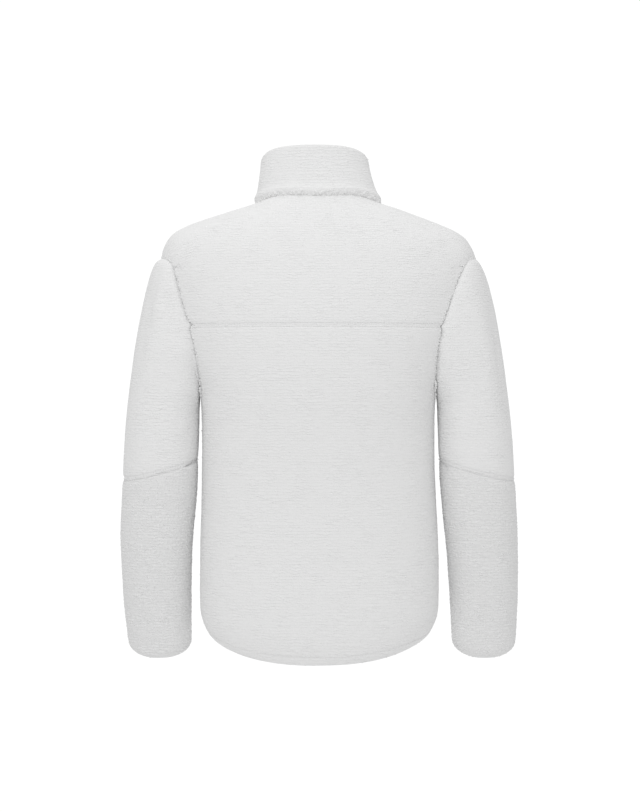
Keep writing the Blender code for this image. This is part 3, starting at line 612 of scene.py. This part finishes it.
def pile_height(name, place):
    """How far the pile stands, the distances to a seam and the armhole, and the channel depth."""
    away = {kind: tree.find(place)[2] for kind, tree in seam_trees.items()}
    hem = hem_tree.find(place)[2]
    height = PILE_RISE
    height += BROAD_LUMP[1] * noise.noise(place / BROAD_LUMP[0])
    height += SMALL_LUMP[1] * noise.noise(place / SMALL_LUMP[0] + SMALL_LUMP_SHIFT)
    backness = within((place.y - BACK_STARTS) / (BACK_FULL - BACK_STARTS))
    valley_share = VALLEY_AT_FRONT + (1 - VALLEY_AT_FRONT) * backness
    above_armpit = within((place.z - ARMPIT_HEIGHT) / ARMPIT_REACH)
    below_shoulder = max(LEAST_AT_SHOULDER, (SHOULDER_HEIGHT - place.z) / SHOULDER_REACH)
    armhole_share = above_armpit * min(1.0, below_shoulder)
    for kind in SEAM_KINDS:
        width, depth = VALLEYS.get((kind, family(name)), (1.0, 0.0))
        shown = valley_share * (armhole_share if kind == "armhole" else 1.0)
        height -= shown * depth * hill(away[kind], width)
    channel = hill(min(away["body"], away["elbow"]) - STITCH_AWAY, STITCH_CHANNEL[0])
    hem_shown = max(HEM_LEAST, HEM_USUAL + noise.noise(place / HEM_FADES_OVER + HEM_FADE_SHIFT))
    hem_channel = hill(hem - HEM_STITCHES_UP, HEM_CHANNEL[0]) * min(1.0, hem_shown)
    height -= STITCH_CHANNEL[1] * channel + HEM_CHANNEL[1] * hem_channel
    for wearer, tree, width, depth in crease_trees:
        if wearer == family(name):
            away_from_crease = tree.find(at_back(place.x, place.z))[2]
            height -= backness * depth * hill(away_from_crease, width)
    for (x, z), width, depth in HOLLOWS:
        shown = 1.0 if abs(x) > SLEEVE_EDGE or depth < 0 else backness
        height -= shown * depth * hill_about(place, x, z, width)
    return height, min(away.values()), away["armhole"], max(channel, hem_channel)


def edge_fullness(name, place, normal):
    """How much sleeve and body swell at the back, where they face each other."""
    outwards = normal[0] * math.copysign(1, place.x)
    facing = -outwards if name.startswith("sleeve") else outwards
    turned = 2 * max(0.0, facing) * max(0.0, normal[1])
    if family(name) == "torso":
        return EDGE_FULLNESS * turned * hill(place.z - ARMPIT_HEIGHT, ARMPIT_REACH)
    lowness = (EDGE_STARTS - place.z) / (EDGE_STARTS - EDGE_FULL_BELOW)
    return EDGE_FULLNESS * turned * within(lowness)


def pull_of(place):
    """How far a point near the end of the yoke seam is pulled along X."""
    if place.y < BACK_STARTS:
        return 0.0
    return sum(pull * hill_about(place, x, z, width) for (x, z), pull, width in PULLS)


# The knitted rows are level. On the yoke they bend over the shoulder, so the row value there
# goes on growing as the cloth turns forwards.
YOKE_BENDS = -0.10
YOKE_REACH = 0.19
BEND_SHARE = 0.57
BACK_STEPS = 39
BEHIND = 0.5
FORWARDS = Vector((0, -1, 0))

back_x = np.linspace(-YOKE_REACH, YOKE_REACH, BACK_STEPS)
back_hits = [
    nodes["back_yoke"].ray_cast(Vector((x, BEHIND, YOKE_BENDS)), FORWARDS) for x in back_x
]
back_y = np.array([hit[1].y if hit[0] else 0.0 for hit in back_hits])


def course_of(name, place):
    """The value of the knitted row through a place, in metres up from the collar seam."""
    if name != "back_yoke" or place.z < YOKE_BENDS:
        return place.z
    forwards = np.interp(place.x, back_x, back_y) - place.y
    return place.z + BEND_SHARE * max(0.0, forwards)


def store(mesh, label, values):
    """Keeps a value on each point of a mesh, for the materials and the curls."""
    attribute = mesh.attributes.new(label, "FLOAT", "POINT")
    attribute.data.foreach_set("value", values.astype(np.float32))


def dress(name, piece):
    """Moves the outer points, and stores on them what the materials and the curls follow."""
    refine_near_lines(piece)
    mesh = piece.data
    places, normals, is_pile = pile_normals(mesh)
    courses, seams, armholes, channels = (np.zeros(len(places)) for _ in range(4))
    for i, place in enumerate(places):
        spot = Vector(place)
        height, seams[i], armholes[i], channels[i] = pile_height(name, spot)
        courses[i] = course_of(name, spot)
        if is_pile[i]:
            if name != "collar":
                height += edge_fullness(name, spot, normals[i])
            places[i] = place + normals[i] * height
            places[i][0] += pull_of(spot)
    mesh.vertices.foreach_set("co", places.ravel())
    stored = {"course": courses, "seam": seams, "armhole": armholes, "channel": channels}
    for label, values in stored.items():
        store(mesh, label, values)
    mesh.update()


for name, piece in pieces.items():
    dress(name, piece)
print("dressed faces:", sum(len(piece.data.polygons) for piece in pieces.values()))

# %% [markdown]
# ## The pile material
# Seen closely, the pile is a mat of white curls in level rows about 4.5 mm apart. A single
# colour would look like plaster. A wave texture makes the rows and is shaken a little by
# noise. The rows fade in and out in patches, as they do where pile was brushed. Finer grain
# makes the curls. The hollows and the stitched channels are painted a little darker: painted
# shade, for the light lost between fibres. The lower sleeves have a coarser grain than the rest,
# with a darker painted shade in its hollows.

# %% Pile
ROW_PITCH = 4.5 * MM
STREAK_LENGTH = 13 * MM
PATCH_SIZE = 26 * MM
CURL_SIZE = 1.7 * MM
GRAIN_SIZE = 3.0 * MM
# A wave texture of scale 1 has 20 radians to a unit, so this scale gives one wave to a row.
ONE_WAVE = 2 * math.pi / 20
# Painted shade: the heights where the grey is darkest and lightest, and the painted shade of a
# channel, as shares of the whole height.
PAINTED_SHADE_DARKEST_AT, PAINTED_SHADE_LIGHTEST_AT, CHANNEL_PAINTED_SHADE = -0.1, 0.7, 0.6
PILE_LIGHT = 0.86
KNIT_LOOPS = (900, 900, 260)


def pile_material(name, row_height, grain_height, grain_size, dark):
    """White pile. The two heights are how far its rows and its curls stand out. Its grey is painted
    shade, down to dark in its low places and in the stitched channels.
    """
    soft = {"Specular IOR Level": 0.1, "Sheen Weight": 0.1, "Sheen Roughness": 0.6}
    material = new_material(name, grey(0.85), 0.95, soft)
    place = object_place(material)
    split = node(material, "ShaderNodeSeparateXYZ", {0: place}).outputs
    course = node(material, "ShaderNodeAttribute", attribute_name="course").outputs["Fac"]
    channel = node(material, "ShaderNodeAttribute", attribute_name="channel").outputs["Fac"]
    row_axes = {
        "X": arithmetic(material, split["X"], 1 / STREAK_LENGTH),
        "Y": arithmetic(material, split["Y"], 1 / STREAK_LENGTH),
        "Z": arithmetic(material, course, 1 / ROW_PITCH),
    }
    row_place = node(material, "ShaderNodeCombineXYZ", row_axes).outputs[0]
    shaken = {"Distortion": 7.0, "Detail": 2.0, "Detail Scale": 3.0, "Detail Roughness": 0.6}
    rows = texture(material, "Wave", row_place, ONE_WAVE, shaken, bands_direction="Z")
    patches = texture(material, "Noise", place, 1 / PATCH_SIZE, {"Detail": 1.0})
    shown = mapped(material, patches, 0.45, 1.0, 0.35, 0.65)
    rows = arithmetic(material, rows, shown)
    fine = {"Detail": 3.5, "Roughness": 0.6}
    curls = texture(material, "Noise", place, 1 / grain_size, fine)
    row_part = arithmetic(material, rows, row_height)
    curl_part = arithmetic(material, curls, grain_height)
    height = arithmetic(material, row_part, curl_part, "ADD")
    lead_bump(material, height, 1.0, 1.0)
    # Painted shade: the grey runs darker where the bump is low and along the stitched channels.
    whole = row_height + grain_height
    painted_channel_shade = arithmetic(material, channel, CHANNEL_PAINTED_SHADE * whole)
    level = arithmetic(material, height, painted_channel_shade, "SUBTRACT")
    painted_shade = mapped(material, level, 0.0, 1.0, PAINTED_SHADE_DARKEST_AT * whole, PAINTED_SHADE_LIGHTEST_AT * whole)
    lead_grey(material, painted_shade, dark, PILE_LIGHT)
    return material


def knit_material():
    """The smooth knitted side of the cloth, with fine upright ribs."""
    soft = {"Specular IOR Level": 0.15, "Sheen Weight": 0.1}
    material = new_material("fleece_knit", grey(0.78), 0.9, soft)
    loops = texture(material, "Noise", object_place(material, KNIT_LOOPS), 1.0, {"Detail": 1.0})
    lead_bump(material, loops, 0.6, 0.4 * MM)
    lead_grey(material, loops, 0.72, 0.84)
    return material


# The last number of each is the grey of the painted shade in the pile's lowest places.
pile = pile_material("fleece_pile", 0.47 * MM, 0.44 * MM, CURL_SIZE, 0.815)
pile_grainy = pile_material("fleece_pile_grainy", 0.5 * MM, 0.95 * MM, GRAIN_SIZE, 0.70)
knit = knit_material()
for name, piece in pieces.items():
    own_pile = pile_grainy if name.startswith("sleeve_lower") else pile
    for material in (own_pile, knit, own_pile):  # in the order of PILE, KNIT and SEWN_RIM
        piece.data.materials.append(material)
print("pile and knit materials made")

# %% [markdown]
# ## Curls on the cloth
# From the side, pile has a soft, uneven edge that no bump can give, because bump only bends
# the light. Hair particles would make too many fibres to export. One small curl is modelled
# from an icosphere with 20 faces, and copies of it are strewn along the rows, thicker beside
# the seams, where the cut pile is pushed up. Two curls never lie on the same spot.

# %% A small shape as arrays, and many copies of it


def shape_of(thing):
    """The points and triangles of an object, which is then removed."""
    thing.data.calc_loop_triangles()
    points = np.array([v.co for v in thing.data.vertices])
    faces = np.array([t.vertices for t in thing.data.loop_triangles])
    bpy.data.objects.remove(thing)
    return points, faces


def copies(name, shape, places, axes, sizes):
    """One mesh with a copy of a shape at each place, turned to that place's three axes."""
    points, faces = shape
    moved = places[:, None, :]
    for axis in range(3):
        reach = points[None, :, axis, None] * sizes[:, None, None]
        moved = moved + axes[axis][:, None, :] * reach
    starts = np.arange(len(places)) * len(points)
    faces = faces[None, :, :] + starts[:, None, None]
    mesh = bpy.data.meshes.new(name)
    mesh.from_pydata(moved.reshape(-1, 3).tolist(), [], faces.reshape(-1, 3).tolist())
    mesh.shade_smooth()
    return add_object(name, mesh)


# %% Model one curl
LONG_CURL = Vector((3.9 * MM, 1.2 * MM, 0.75 * MM))
SHORT_CURL = Vector((2.4 * MM, 1.5 * MM, 1.1 * MM))


def model_grain(half, hook):
    """A small grain from an icosphere, with its half sizes, and how far its ends are bent."""
    bpy.ops.object.select_all(action="DESELECT")
    bpy.ops.mesh.primitive_ico_sphere_add(subdivisions=1, radius=1.0)
    grain = bpy.context.object
    bpy.ops.object.mode_set(mode="EDIT")
    bpy.ops.mesh.select_all(action="SELECT")
    bpy.ops.transform.resize(value=half)
    shell = bmesh.from_edit_mesh(grain.data)
    for vert in shell.verts:
        bend = hook * (vert.co.x / half.x) ** 2
        vert.co.y += bend
        vert.co.z -= 0.5 * bend
    bmesh.update_edit_mesh(grain.data)
    bpy.ops.object.mode_set(mode="OBJECT")
    return shape_of(grain)


long_curl = model_grain(LONG_CURL, 0.8 * MM)
short_curl = model_grain(SHORT_CURL, 1.1 * MM)
print("one curl has faces:", len(long_curl[1]))

# %% Find places for the curls
TRIES_PER_CURL = 5
ROW_HALF_WIDTH = 0.26
APART_AT_SEAM = 3.4 * MM
NEAR_SEAM = 2.6 * MM
BARE_AT_ARMHOLE = 4.5 * MM


def point_values(mesh):
    """Arrays of each point's place, normal and stored values."""
    places = triples(mesh.vertices, "co")
    found = {"place": places, "normal": triples(mesh.vertex_normals, "vector")}
    for label in ("course", "seam", "armhole", "channel"):
        found[label] = np.empty(len(places))
        mesh.attributes[label].data.foreach_get("value", found[label])
    return found


def random_spots(mesh, count, random):
    """Evenly random places on the pile faces, with the values of their face's points."""
    mesh.calc_loop_triangles()
    polygons = mesh.polygons
    triangles = [t for t in mesh.loop_triangles if polygons[t.polygon_index].material_index == PILE]
    corners = np.array([t.vertices for t in triangles])
    areas = np.array([t.area for t in triangles])
    chosen = random.choice(len(triangles), size=count, p=areas / areas.sum())
    shares = random.random((count, 2))
    over = shares.sum(axis=1) > 1
    shares[over] = 1 - shares[over]
    weights = np.column_stack([1 - shares.sum(axis=1), shares])
    spots = {}
    for label, values in point_values(mesh).items():
        picked = values[corners[chosen]]
        shape = weights.reshape(count, 3, *([1] * (picked.ndim - 2)))
        spots[label] = (picked * shape).sum(axis=1)
    return spots


def thinned(spots, order, apart):
    """Keeps spots in turn and drops the others that lie too near to one that is kept."""
    places = [Vector(place) for place in spots["place"]]
    tree = tree_of(places)
    dropped = np.zeros(len(places), dtype=bool)
    kept = []
    for index in order:
        if dropped[index]:
            continue
        kept.append(index)
        near_seam = spots["seam"][index] < NEAR_SEAM
        reach = APART_AT_SEAM if near_seam else apart
        for _, other, away in tree.find_range(places[index], reach):
            same_row = abs(spots["course"][other] - spots["course"][index]) < 0.5 * ROW_PITCH
            if near_seam or same_row or away < 0.5 * reach:
                dropped[other] = True
    return kept


# %% Fluff that stands over a seam
# The seam that each kind of piece overhangs, how far above it the fluff lies, how far apart, how
# much it is scattered, how far out it stands, and its size. The tufts fill the armpits.
FRINGE_OF = {
    "torso": ("armhole", 0.0 * MM, 1.7 * MM, 1.1 * MM, 0.25 * MM, 1.0),
    "collar": ("neck", 6.0 * MM, 3.6 * MM, 1.4 * MM, -0.9 * MM, 2.2),
}
FRINGE_TURN = math.radians(35)
TUFT_HEIGHTS = np.repeat(np.arange(-0.297, -0.272, 0.0012), 2)
TUFT_X = {1: 180.2 * MM, -1: -178.2 * MM}
TUFT_SPREAD = 0.7 * MM
TUFT_BESIDE = 4.0 * MM
TUFT_DEPTH = 0.8 * MM


def surface_of(names):
    """All the pile faces of some panels, for finding the nearest place on them."""
    places, faces = [], []
    for name in names:
        mesh = pieces[name].data
        start = len(places)
        places += [v.co.copy() for v in mesh.vertices]
        for face in mesh.polygons:
            if face.material_index == PILE:
                faces.append([start + i for i in face.vertices])
    return BVHTree.FromPolygons(places, faces)


def tufts(random):
    """Spots for the fluff that fills the fold between arm and body, just above the gap."""
    found = []
    both = surface_of(["back_panel", "sleeve_upper_left", "sleeve_upper_right"])
    for side in (-1, 1):
        for height in TUFT_HEIGHTS:
            x = TUFT_X[side] + random.normal(0, TUFT_SPREAD)
            sides = [
                both.ray_cast(Vector((x + beside, BEHIND, height)), FORWARDS)[0]
                for beside in (-TUFT_BESIDE, TUFT_BESIDE)
            ]
            if all(sides):
                depth = min(place.y for place in sides) - TUFT_DEPTH
                found.append((Vector((x, depth, height)), -FORWARDS))
    return found


def fringe_spots(name, random):
    """Spots along the panel's edge at the armhole or the neck, where cut pile covers the seam."""
    kind, above, apart, spread, _, _ = FRINGE_OF[family(name)]
    edge = np.array(seam_points(lambda a, b: a == name and kind_of_seam(a, b) == kind))
    picked = edge[random.random(len(edge)) < LINE_STEP / apart] + (0, 0, above)
    picked = picked + random.normal(0, spread, picked.shape)
    surface = surface_of([name])
    hits = [surface.find_nearest(Vector(place)) for place in picked]
    if name == "back_panel":
        hits += tufts(random)
    return {
        "place": np.array([hit[0] for hit in hits]),
        "normal": np.array([hit[1] for hit in hits]),
        "course": np.array([course_of(name, hit[0]) for hit in hits]),
        "channel": np.zeros(len(hits)),
    }


# %% Strew curls over a panel
AREA_PER_CURL = 35 * MM * MM
CURL_SINK = 0.42 * MM
CURL_SIZES = (0.7, 1.2)
MOST_CURLS = 9000
# Curls thin out towards a stitched channel, between these two depths.
CHANNEL_CLEARS = (0.3, 1.0)
LEAST_LEVEL = 0.15
# How far apart curls lie in a row, and how far they turn out of it, on each kind of piece.
LONG_LAY = (long_curl, 7.2 * MM, math.radians(9))
SHORT_LAY = (short_curl, 5.0 * MM, math.radians(40))


def unit(vectors):
    return vectors / np.linalg.norm(vectors, axis=1)[:, None]


def square_to(normals, vectors):
    """Unit vectors nearest to the given ones that are square to the normals."""
    return unit(vectors - (vectors * normals).sum(axis=1)[:, None] * normals)


def curl_axes(normals, turn_limit, random):
    """Axes for each curl: along its row, up the cloth, and out of the cloth."""
    normals = unit(normals)
    level = np.cross((0, 0, 1), normals)
    level[:, 0] += np.where(level[:, 0] < 0, -LEAST_LEVEL, LEAST_LEVEL)
    along_row = square_to(normals, level)
    up = np.cross(normals, along_row)
    turn = random.normal(0, turn_limit, len(normals)) + np.pi * random.integers(0, 2, len(normals))
    cos, sin = np.cos(turn)[:, None], np.sin(turn)[:, None]
    return along_row * cos + up * sin, up * cos - along_row * sin, normals


def lay_curls(name, shape, spots, turn_limit, lift, random, size=1.0):
    """One mesh with a curl on each spot. Each carries its spot's values for the material."""
    axes = curl_axes(spots["normal"], turn_limit, random)
    sizes = size * random.uniform(*CURL_SIZES, len(axes[2]))
    laid = copies(name, shape, spots["place"] + axes[2] * lift, axes, sizes)
    for label in ("course", "channel"):
        store(laid.data, label, np.repeat(spots[label], len(shape[0])))
    return laid


def strew(name, piece, seed):
    """One mesh of curls over a panel."""
    random = np.random.default_rng(seed)
    shape, apart, turn_limit = SHORT_LAY if name.startswith("sleeve_lower") else LONG_LAY
    area = sum(face.area for face in piece.data.polygons if face.material_index == PILE)
    count = int(area / AREA_PER_CURL)
    spots = random_spots(piece.data, count * TRIES_PER_CURL, random)
    rows = spots["course"] / ROW_PITCH + 0.5
    wanted = (np.abs(rows - np.round(rows)) < ROW_HALF_WIDTH) | (spots["seam"] < NEAR_SEAM)
    if name.startswith("sleeve"):
        wanted &= spots["armhole"] > BARE_AT_ARMHOLE
    wanted &= spots["channel"] < random.uniform(*CHANNEL_CLEARS, len(wanted))
    spots = {label: values[wanted] for label, values in spots.items()}
    kept = thinned(spots, random.permutation(len(spots["course"])), apart)[:MOST_CURLS]
    spots = {label: values[kept] for label, values in spots.items()}
    strewn = lay_curls(f"curls_{name}", shape, spots, turn_limit, -CURL_SINK, random)
    if family(name) in FRINGE_OF:
        spots = fringe_spots(name, random)
        lift, size = FRINGE_OF[family(name)][4:]
        fringe = lay_curls("fringe", short_curl, spots, FRINGE_TURN, lift, random, size)
        only(strewn)
        fringe.select_set(True)
        bpy.ops.object.join()
        print(name, "curls over its seam:", len(spots["place"]))
    strewn.data.materials.append(piece.data.materials[PILE])
    print(name, "curls:", len(kept), "of at most", MOST_CURLS)
    return strewn


curls = {name: strew(name, piece, seed) for seed, (name, piece) in enumerate(pieces.items())}
print("curl meshes:", len(curls))

# %% [markdown]
# ## Thread
# The seams of the yoke and the elbows are sewn down with two rows of stitches, and the hem and
# the fronts beside the zip with one. Each stitch is a short loop of thread that lies in its
# channel. A long tube would be quicker, but it would lose the dips between the stitches, so
# one stitch is modelled and a copy is laid every 3.4 mm.

# %% Model one stitch
STITCH_HALF = Vector((1.45 * MM, 0.32 * MM, 0.32 * MM))
STITCH_PITCH = 3.4 * MM
STITCH_LIFT = 0.15 * MM

stitch_shape = model_grain(STITCH_HALF, hook=0.0)
print("one stitch has faces:", len(stitch_shape[1]))

# %% Lay the rows of stitches
FRONT_STITCH_AWAY = 5.0 * MM
ZIP_NEAR = 0.03
NOT_SEEN = 12 * MM


def stitched(line, offset, surface):
    """Places, directions and normals of the stitches beside a line of points in order."""
    spots = [surface.find_nearest(point + offset) for point in line]
    spots = [spot for spot in spots if spot[0] is not None]
    kept = [spots[0]]
    for spot in spots:
        if (spot[0] - kept[-1][0]).length >= STITCH_PITCH:
            kept.append(spot)
    rows = []
    for here, there in zip(kept, kept[1:]):
        if (there[0] - here[0]).length < NOT_SEEN:
            rows.append((here[0].lerp(there[0], 0.5), there[0] - here[0], here[1]))
    return rows


def round_about(middle_x, middle_y):
    """Sorts points by their turn about an upright line."""
    return lambda point: math.atan2(point.y - middle_y, point.x - middle_x)


def elbow_line(side):
    """The points of one elbow seam, in order round the arm."""
    upper = f"sleeve_upper_{side}"
    points = seam_points(lambda a, b: a == upper and kind_of_seam(a, b) == "elbow")
    middle = sum(points, Vector()) / len(points)
    return sorted(points, key=round_about(middle.x, middle.y))


def zip_edge(name):
    """The front edge of one front, beside the zip, from the hem up."""
    edges = [e for e in free_edges if e[0] == name and max(abs(e[1].x), abs(e[2].x)) < ZIP_NEAR]
    upright = [e for e in edges if abs(e[1].z - e[2].z) > HEM_STEEPEST * (e[1] - e[2]).length]
    return sorted(points_along([e[1:] for e in upright]), key=lambda point: point.z)


torso_surface = surface_of(TORSO)
yoke_points = seam_points(lambda a, b: a == "back_yoke" and b == "back_panel")
yoke_line = sorted(yoke_points, key=lambda point: point.x)
up = Vector((0, 0, 1))
rows = []
for away in (-STITCH_AWAY, STITCH_AWAY):
    rows += stitched(yoke_line, up * away, torso_surface)
for side in ("left", "right"):
    sleeve_surface = surface_of([f"sleeve_upper_{side}", f"sleeve_lower_{side}"])
    for away in (-STITCH_AWAY, STITCH_AWAY):
        rows += stitched(elbow_line(side), up * away, sleeve_surface)
rows += stitched(sorted(hem_points, key=round_about(0, 0)), up * HEM_STITCHES_UP, torso_surface)
for name, out in (("front_left", 1), ("front_right", -1)):
    sideways = Vector((out * FRONT_STITCH_AWAY, 0, 0))
    rows += stitched(zip_edge(name), sideways, torso_surface)

normals = unit(np.array([row[2] for row in rows]))
along = square_to(normals, np.array([row[1] for row in rows]))
stitches = copies(
    "stitches",
    stitch_shape,
    np.array([row[0] for row in rows]) + normals * STITCH_LIFT,
    (along, np.cross(normals, along), normals),
    np.ones(len(rows)),
)
thread = new_material("white_thread", grey(0.8), 0.6)
ply = texture(thread, "Noise", object_place(thread), 1600.0)
lead_bump(thread, ply, 0.5, 0.3 * MM)
lead_grey(thread, ply, 0.7, 0.85)
stitches.data.materials.append(thread)
print("stitches:", len(rows))

# %% [markdown]
# ## The zip
# A moulded zip has two woven tapes with a plastic tooth at every few millimetres, and the
# teeth of one side lock between those of the other. The CAD chain is only a strip. One tooth
# is modelled with its foot on the tape, a thin neck and a wide head, and copies are laid
# along the strip's middle, each second one turned round. The tapes keep their own shape.

# %% Model one tooth
TOOTH_LENGTH = 3.5 * MM
TOOTH_WIDTH = 1.3 * MM
TOOTH_THICKNESS = 2.3 * MM
TOOTH_MIDDLE = 1.15 * MM
NECK_PLACES = (0.35 * MM, 1.15 * MM)
NECK_SHARE = 0.6
TOOTH_BEVEL = 0.22 * MM
SHARP_ANGLE = math.radians(35)

bpy.ops.object.select_all(action="DESELECT")
bpy.ops.mesh.primitive_cube_add(size=1.0)
tooth = bpy.context.object
bpy.ops.object.mode_set(mode="EDIT")
bpy.ops.mesh.select_all(action="SELECT")
bpy.ops.transform.resize(value=(TOOTH_LENGTH, TOOTH_WIDTH, TOOTH_THICKNESS))
bpy.ops.transform.translate(value=(TOOTH_MIDDLE, 0, 0))
for neck in NECK_PLACES:
    bpy.ops.mesh.select_all(action="SELECT")
    bpy.ops.mesh.bisect(plane_co=(neck, 0, 0), plane_no=(1, 0, 0))
    bpy.ops.transform.resize(value=(1, NECK_SHARE, 1))
bpy.ops.mesh.select_all(action="SELECT")
bpy.ops.mesh.bevel(offset=TOOTH_BEVEL, segments=1, affect="EDGES")
bpy.ops.mesh.normals_make_consistent(inside=False)
bpy.ops.object.mode_set(mode="OBJECT")
tooth_shape = shape_of(tooth)
print("one tooth has faces:", len(tooth_shape[1]))

# %% Lay the teeth along the chain
TEETH_PITCH = 1.45 * MM
CHAIN_LOOKS = 600
LOOKS_LEFT_OUT = 3
IN_FRONT = 0.05
DRIFT_POWER = 3

chain_low, chain_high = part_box("zip_chain")
# The strip drifts a little sideways on its way up, and rays from in front find its surface.
chain_points = np.array([v.co for v in nodes["zip_chain"].data.vertices])
drift = np.polyfit(chain_points[:, 2], chain_points[:, 0], DRIFT_POWER)
chain = []
heights = np.linspace(chain_low.z, chain_high.z, CHAIN_LOOKS)
for height in heights[LOOKS_LEFT_OUT:-LOOKS_LEFT_OUT]:
    start = Vector((float(np.polyval(drift, height)), chain_low.y - IN_FRONT, float(height)))
    hit, place, _, _ = nodes["zip_chain"].ray_cast(start, -FORWARDS)
    if hit:
        chain.append(place)
steps = [0.0]
for here, there in zip(chain, chain[1:]):
    steps.append(steps[-1] + (there - here).length)
wanted = np.arange(TEETH_PITCH, steps[-1] - TEETH_PITCH, TEETH_PITCH)
line = np.array(chain)
middle = np.column_stack([np.interp(wanted, steps, line[:, i]) for i in range(3)])
up_chain = unit(np.gradient(middle, axis=0))
across = square_to(up_chain, np.tile((1.0, 0.0, 0.0), (len(middle), 1)))
outwards = np.cross(across, up_chain)
side = np.where(np.arange(len(middle)) % 2 == 0, 1.0, -1.0)[:, None]
teeth = copies(
    "zip_teeth",
    tooth_shape,
    middle - outwards * 0.5 * TOOTH_THICKNESS,
    (across * side, up_chain * side, outwards),
    np.ones(len(middle)),
)
only(teeth)
bpy.ops.object.shade_smooth_by_angle(angle=SHARP_ANGLE)
print("teeth:", len(middle))

# %% Tapes, box, slider and pull
BEVELS = {"zip_box": 0.5 * MM, "zip_slider": 0.22 * MM, "zip_pull": 0.25 * MM}
BRUSH_MARKS = (4000, 4000, 160)

tapes = {}
for side_name in ("left", "right"):
    tape = clean_copy(f"zip_tape_{side_name}", f"tape_{side_name}")
    apply_modifier(tape, "SUBSURF", levels=1, render_levels=1)
    tapes[side_name] = tape
hardware = {}
for name, width in BEVELS.items():
    part = clean_copy(name, f"bevelled_{name}")
    corners = {"limit_method": "ANGLE", "angle_limit": SHARP_ANGLE}
    apply_modifier(part, "BEVEL", width=width, segments=2, **corners)
    only(part)
    bpy.ops.object.shade_smooth_by_angle(angle=SHARP_ANGLE)
    hardware[name] = part
    print(name, "faces:", len(part.data.polygons))


def tape_material():
    """Woven tape: fine ribs up the tape and finer yarns across it."""
    material = new_material("zip_tape", grey(0.8), 0.8)
    place = object_place(material)
    ribs = texture(material, "Wave", place, 48.0, {"Distortion": 0.4}, bands_direction="X")
    yarns = texture(material, "Wave", place, 90.0, {"Distortion": 0.8}, bands_direction="Z")
    weave = arithmetic(material, ribs, yarns)
    lead_bump(material, weave, 0.7, 0.3 * MM)
    lead_grey(material, weave, 0.7, 0.84)
    return material


def teeth_material():
    """Moulded plastic, a little cloudy, with the faint grain of its mould."""
    material = new_material("moulded_teeth", grey(0.82), 0.35)
    cloud = texture(material, "Noise", object_place(material), 350.0, {"Detail": 3.0})
    lead_bump(material, cloud, 0.2, 0.2 * MM)
    lead_grey(material, cloud, 0.78, 0.86)
    lead(material, mapped(material, cloud, 0.28, 0.45), "Roughness")
    return material


def metal_material():
    """Satin steel, brushed along the zip, and rubbed brighter in places."""
    material = new_material("satin_metal", grey(0.62), 0.35, {"Metallic": 1.0})
    marks = object_place(material, BRUSH_MARKS)
    brushed = texture(material, "Noise", marks, 1.0, {"Detail": 2.0})
    rubbed = texture(material, "Noise", object_place(material), 260.0, {"Detail": 2.0})
    lead_bump(material, brushed, 0.15, 0.2 * MM)
    lead_grey(material, rubbed, 0.52, 0.70)
    lead(material, mapped(material, brushed, 0.25, 0.48), "Roughness")
    return material


woven, moulded, metal = tape_material(), teeth_material(), metal_material()
for tape in tapes.values():
    tape.data.materials.append(woven)
for part in (teeth, hardware["zip_box"]):
    part.data.materials.append(moulded)
for part in (hardware["zip_slider"], hardware["zip_pull"]):
    part.data.materials.append(metal)

# %% [markdown]
# ## What each piece is to the model
# Each panel, tape and zip part hides the CAD solid it is made from, and every piece moves with
# the jacket or with the pull tab.


def belongs(piece, body, node_name=None):
    """What a piece rides on, and the CAD node it stands for, which is hidden."""
    if node_name:
        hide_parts(node_name)
    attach(piece, body)


for name, piece in pieces.items():
    belongs(piece, "jacket", name)
    belongs(curls[name], "jacket")
for side_name, tape in tapes.items():
    belongs(tape, "jacket", f"zip_tape_{side_name}")

belongs(stitches, "jacket")
belongs(teeth, "jacket", "zip_chain")
belongs(hardware["zip_box"], "jacket", "zip_box")
belongs(hardware["zip_slider"], "jacket", "zip_slider")
belongs(hardware["zip_pull"], "pull_tab", "zip_pull")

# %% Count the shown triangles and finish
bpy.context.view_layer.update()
shown = [thing for thing in scene.objects if thing.type == "MESH" and not thing.hide_render]
print("triangles:", sum(len(p.vertices) - 2 for thing in shown for p in thing.data.polygons))
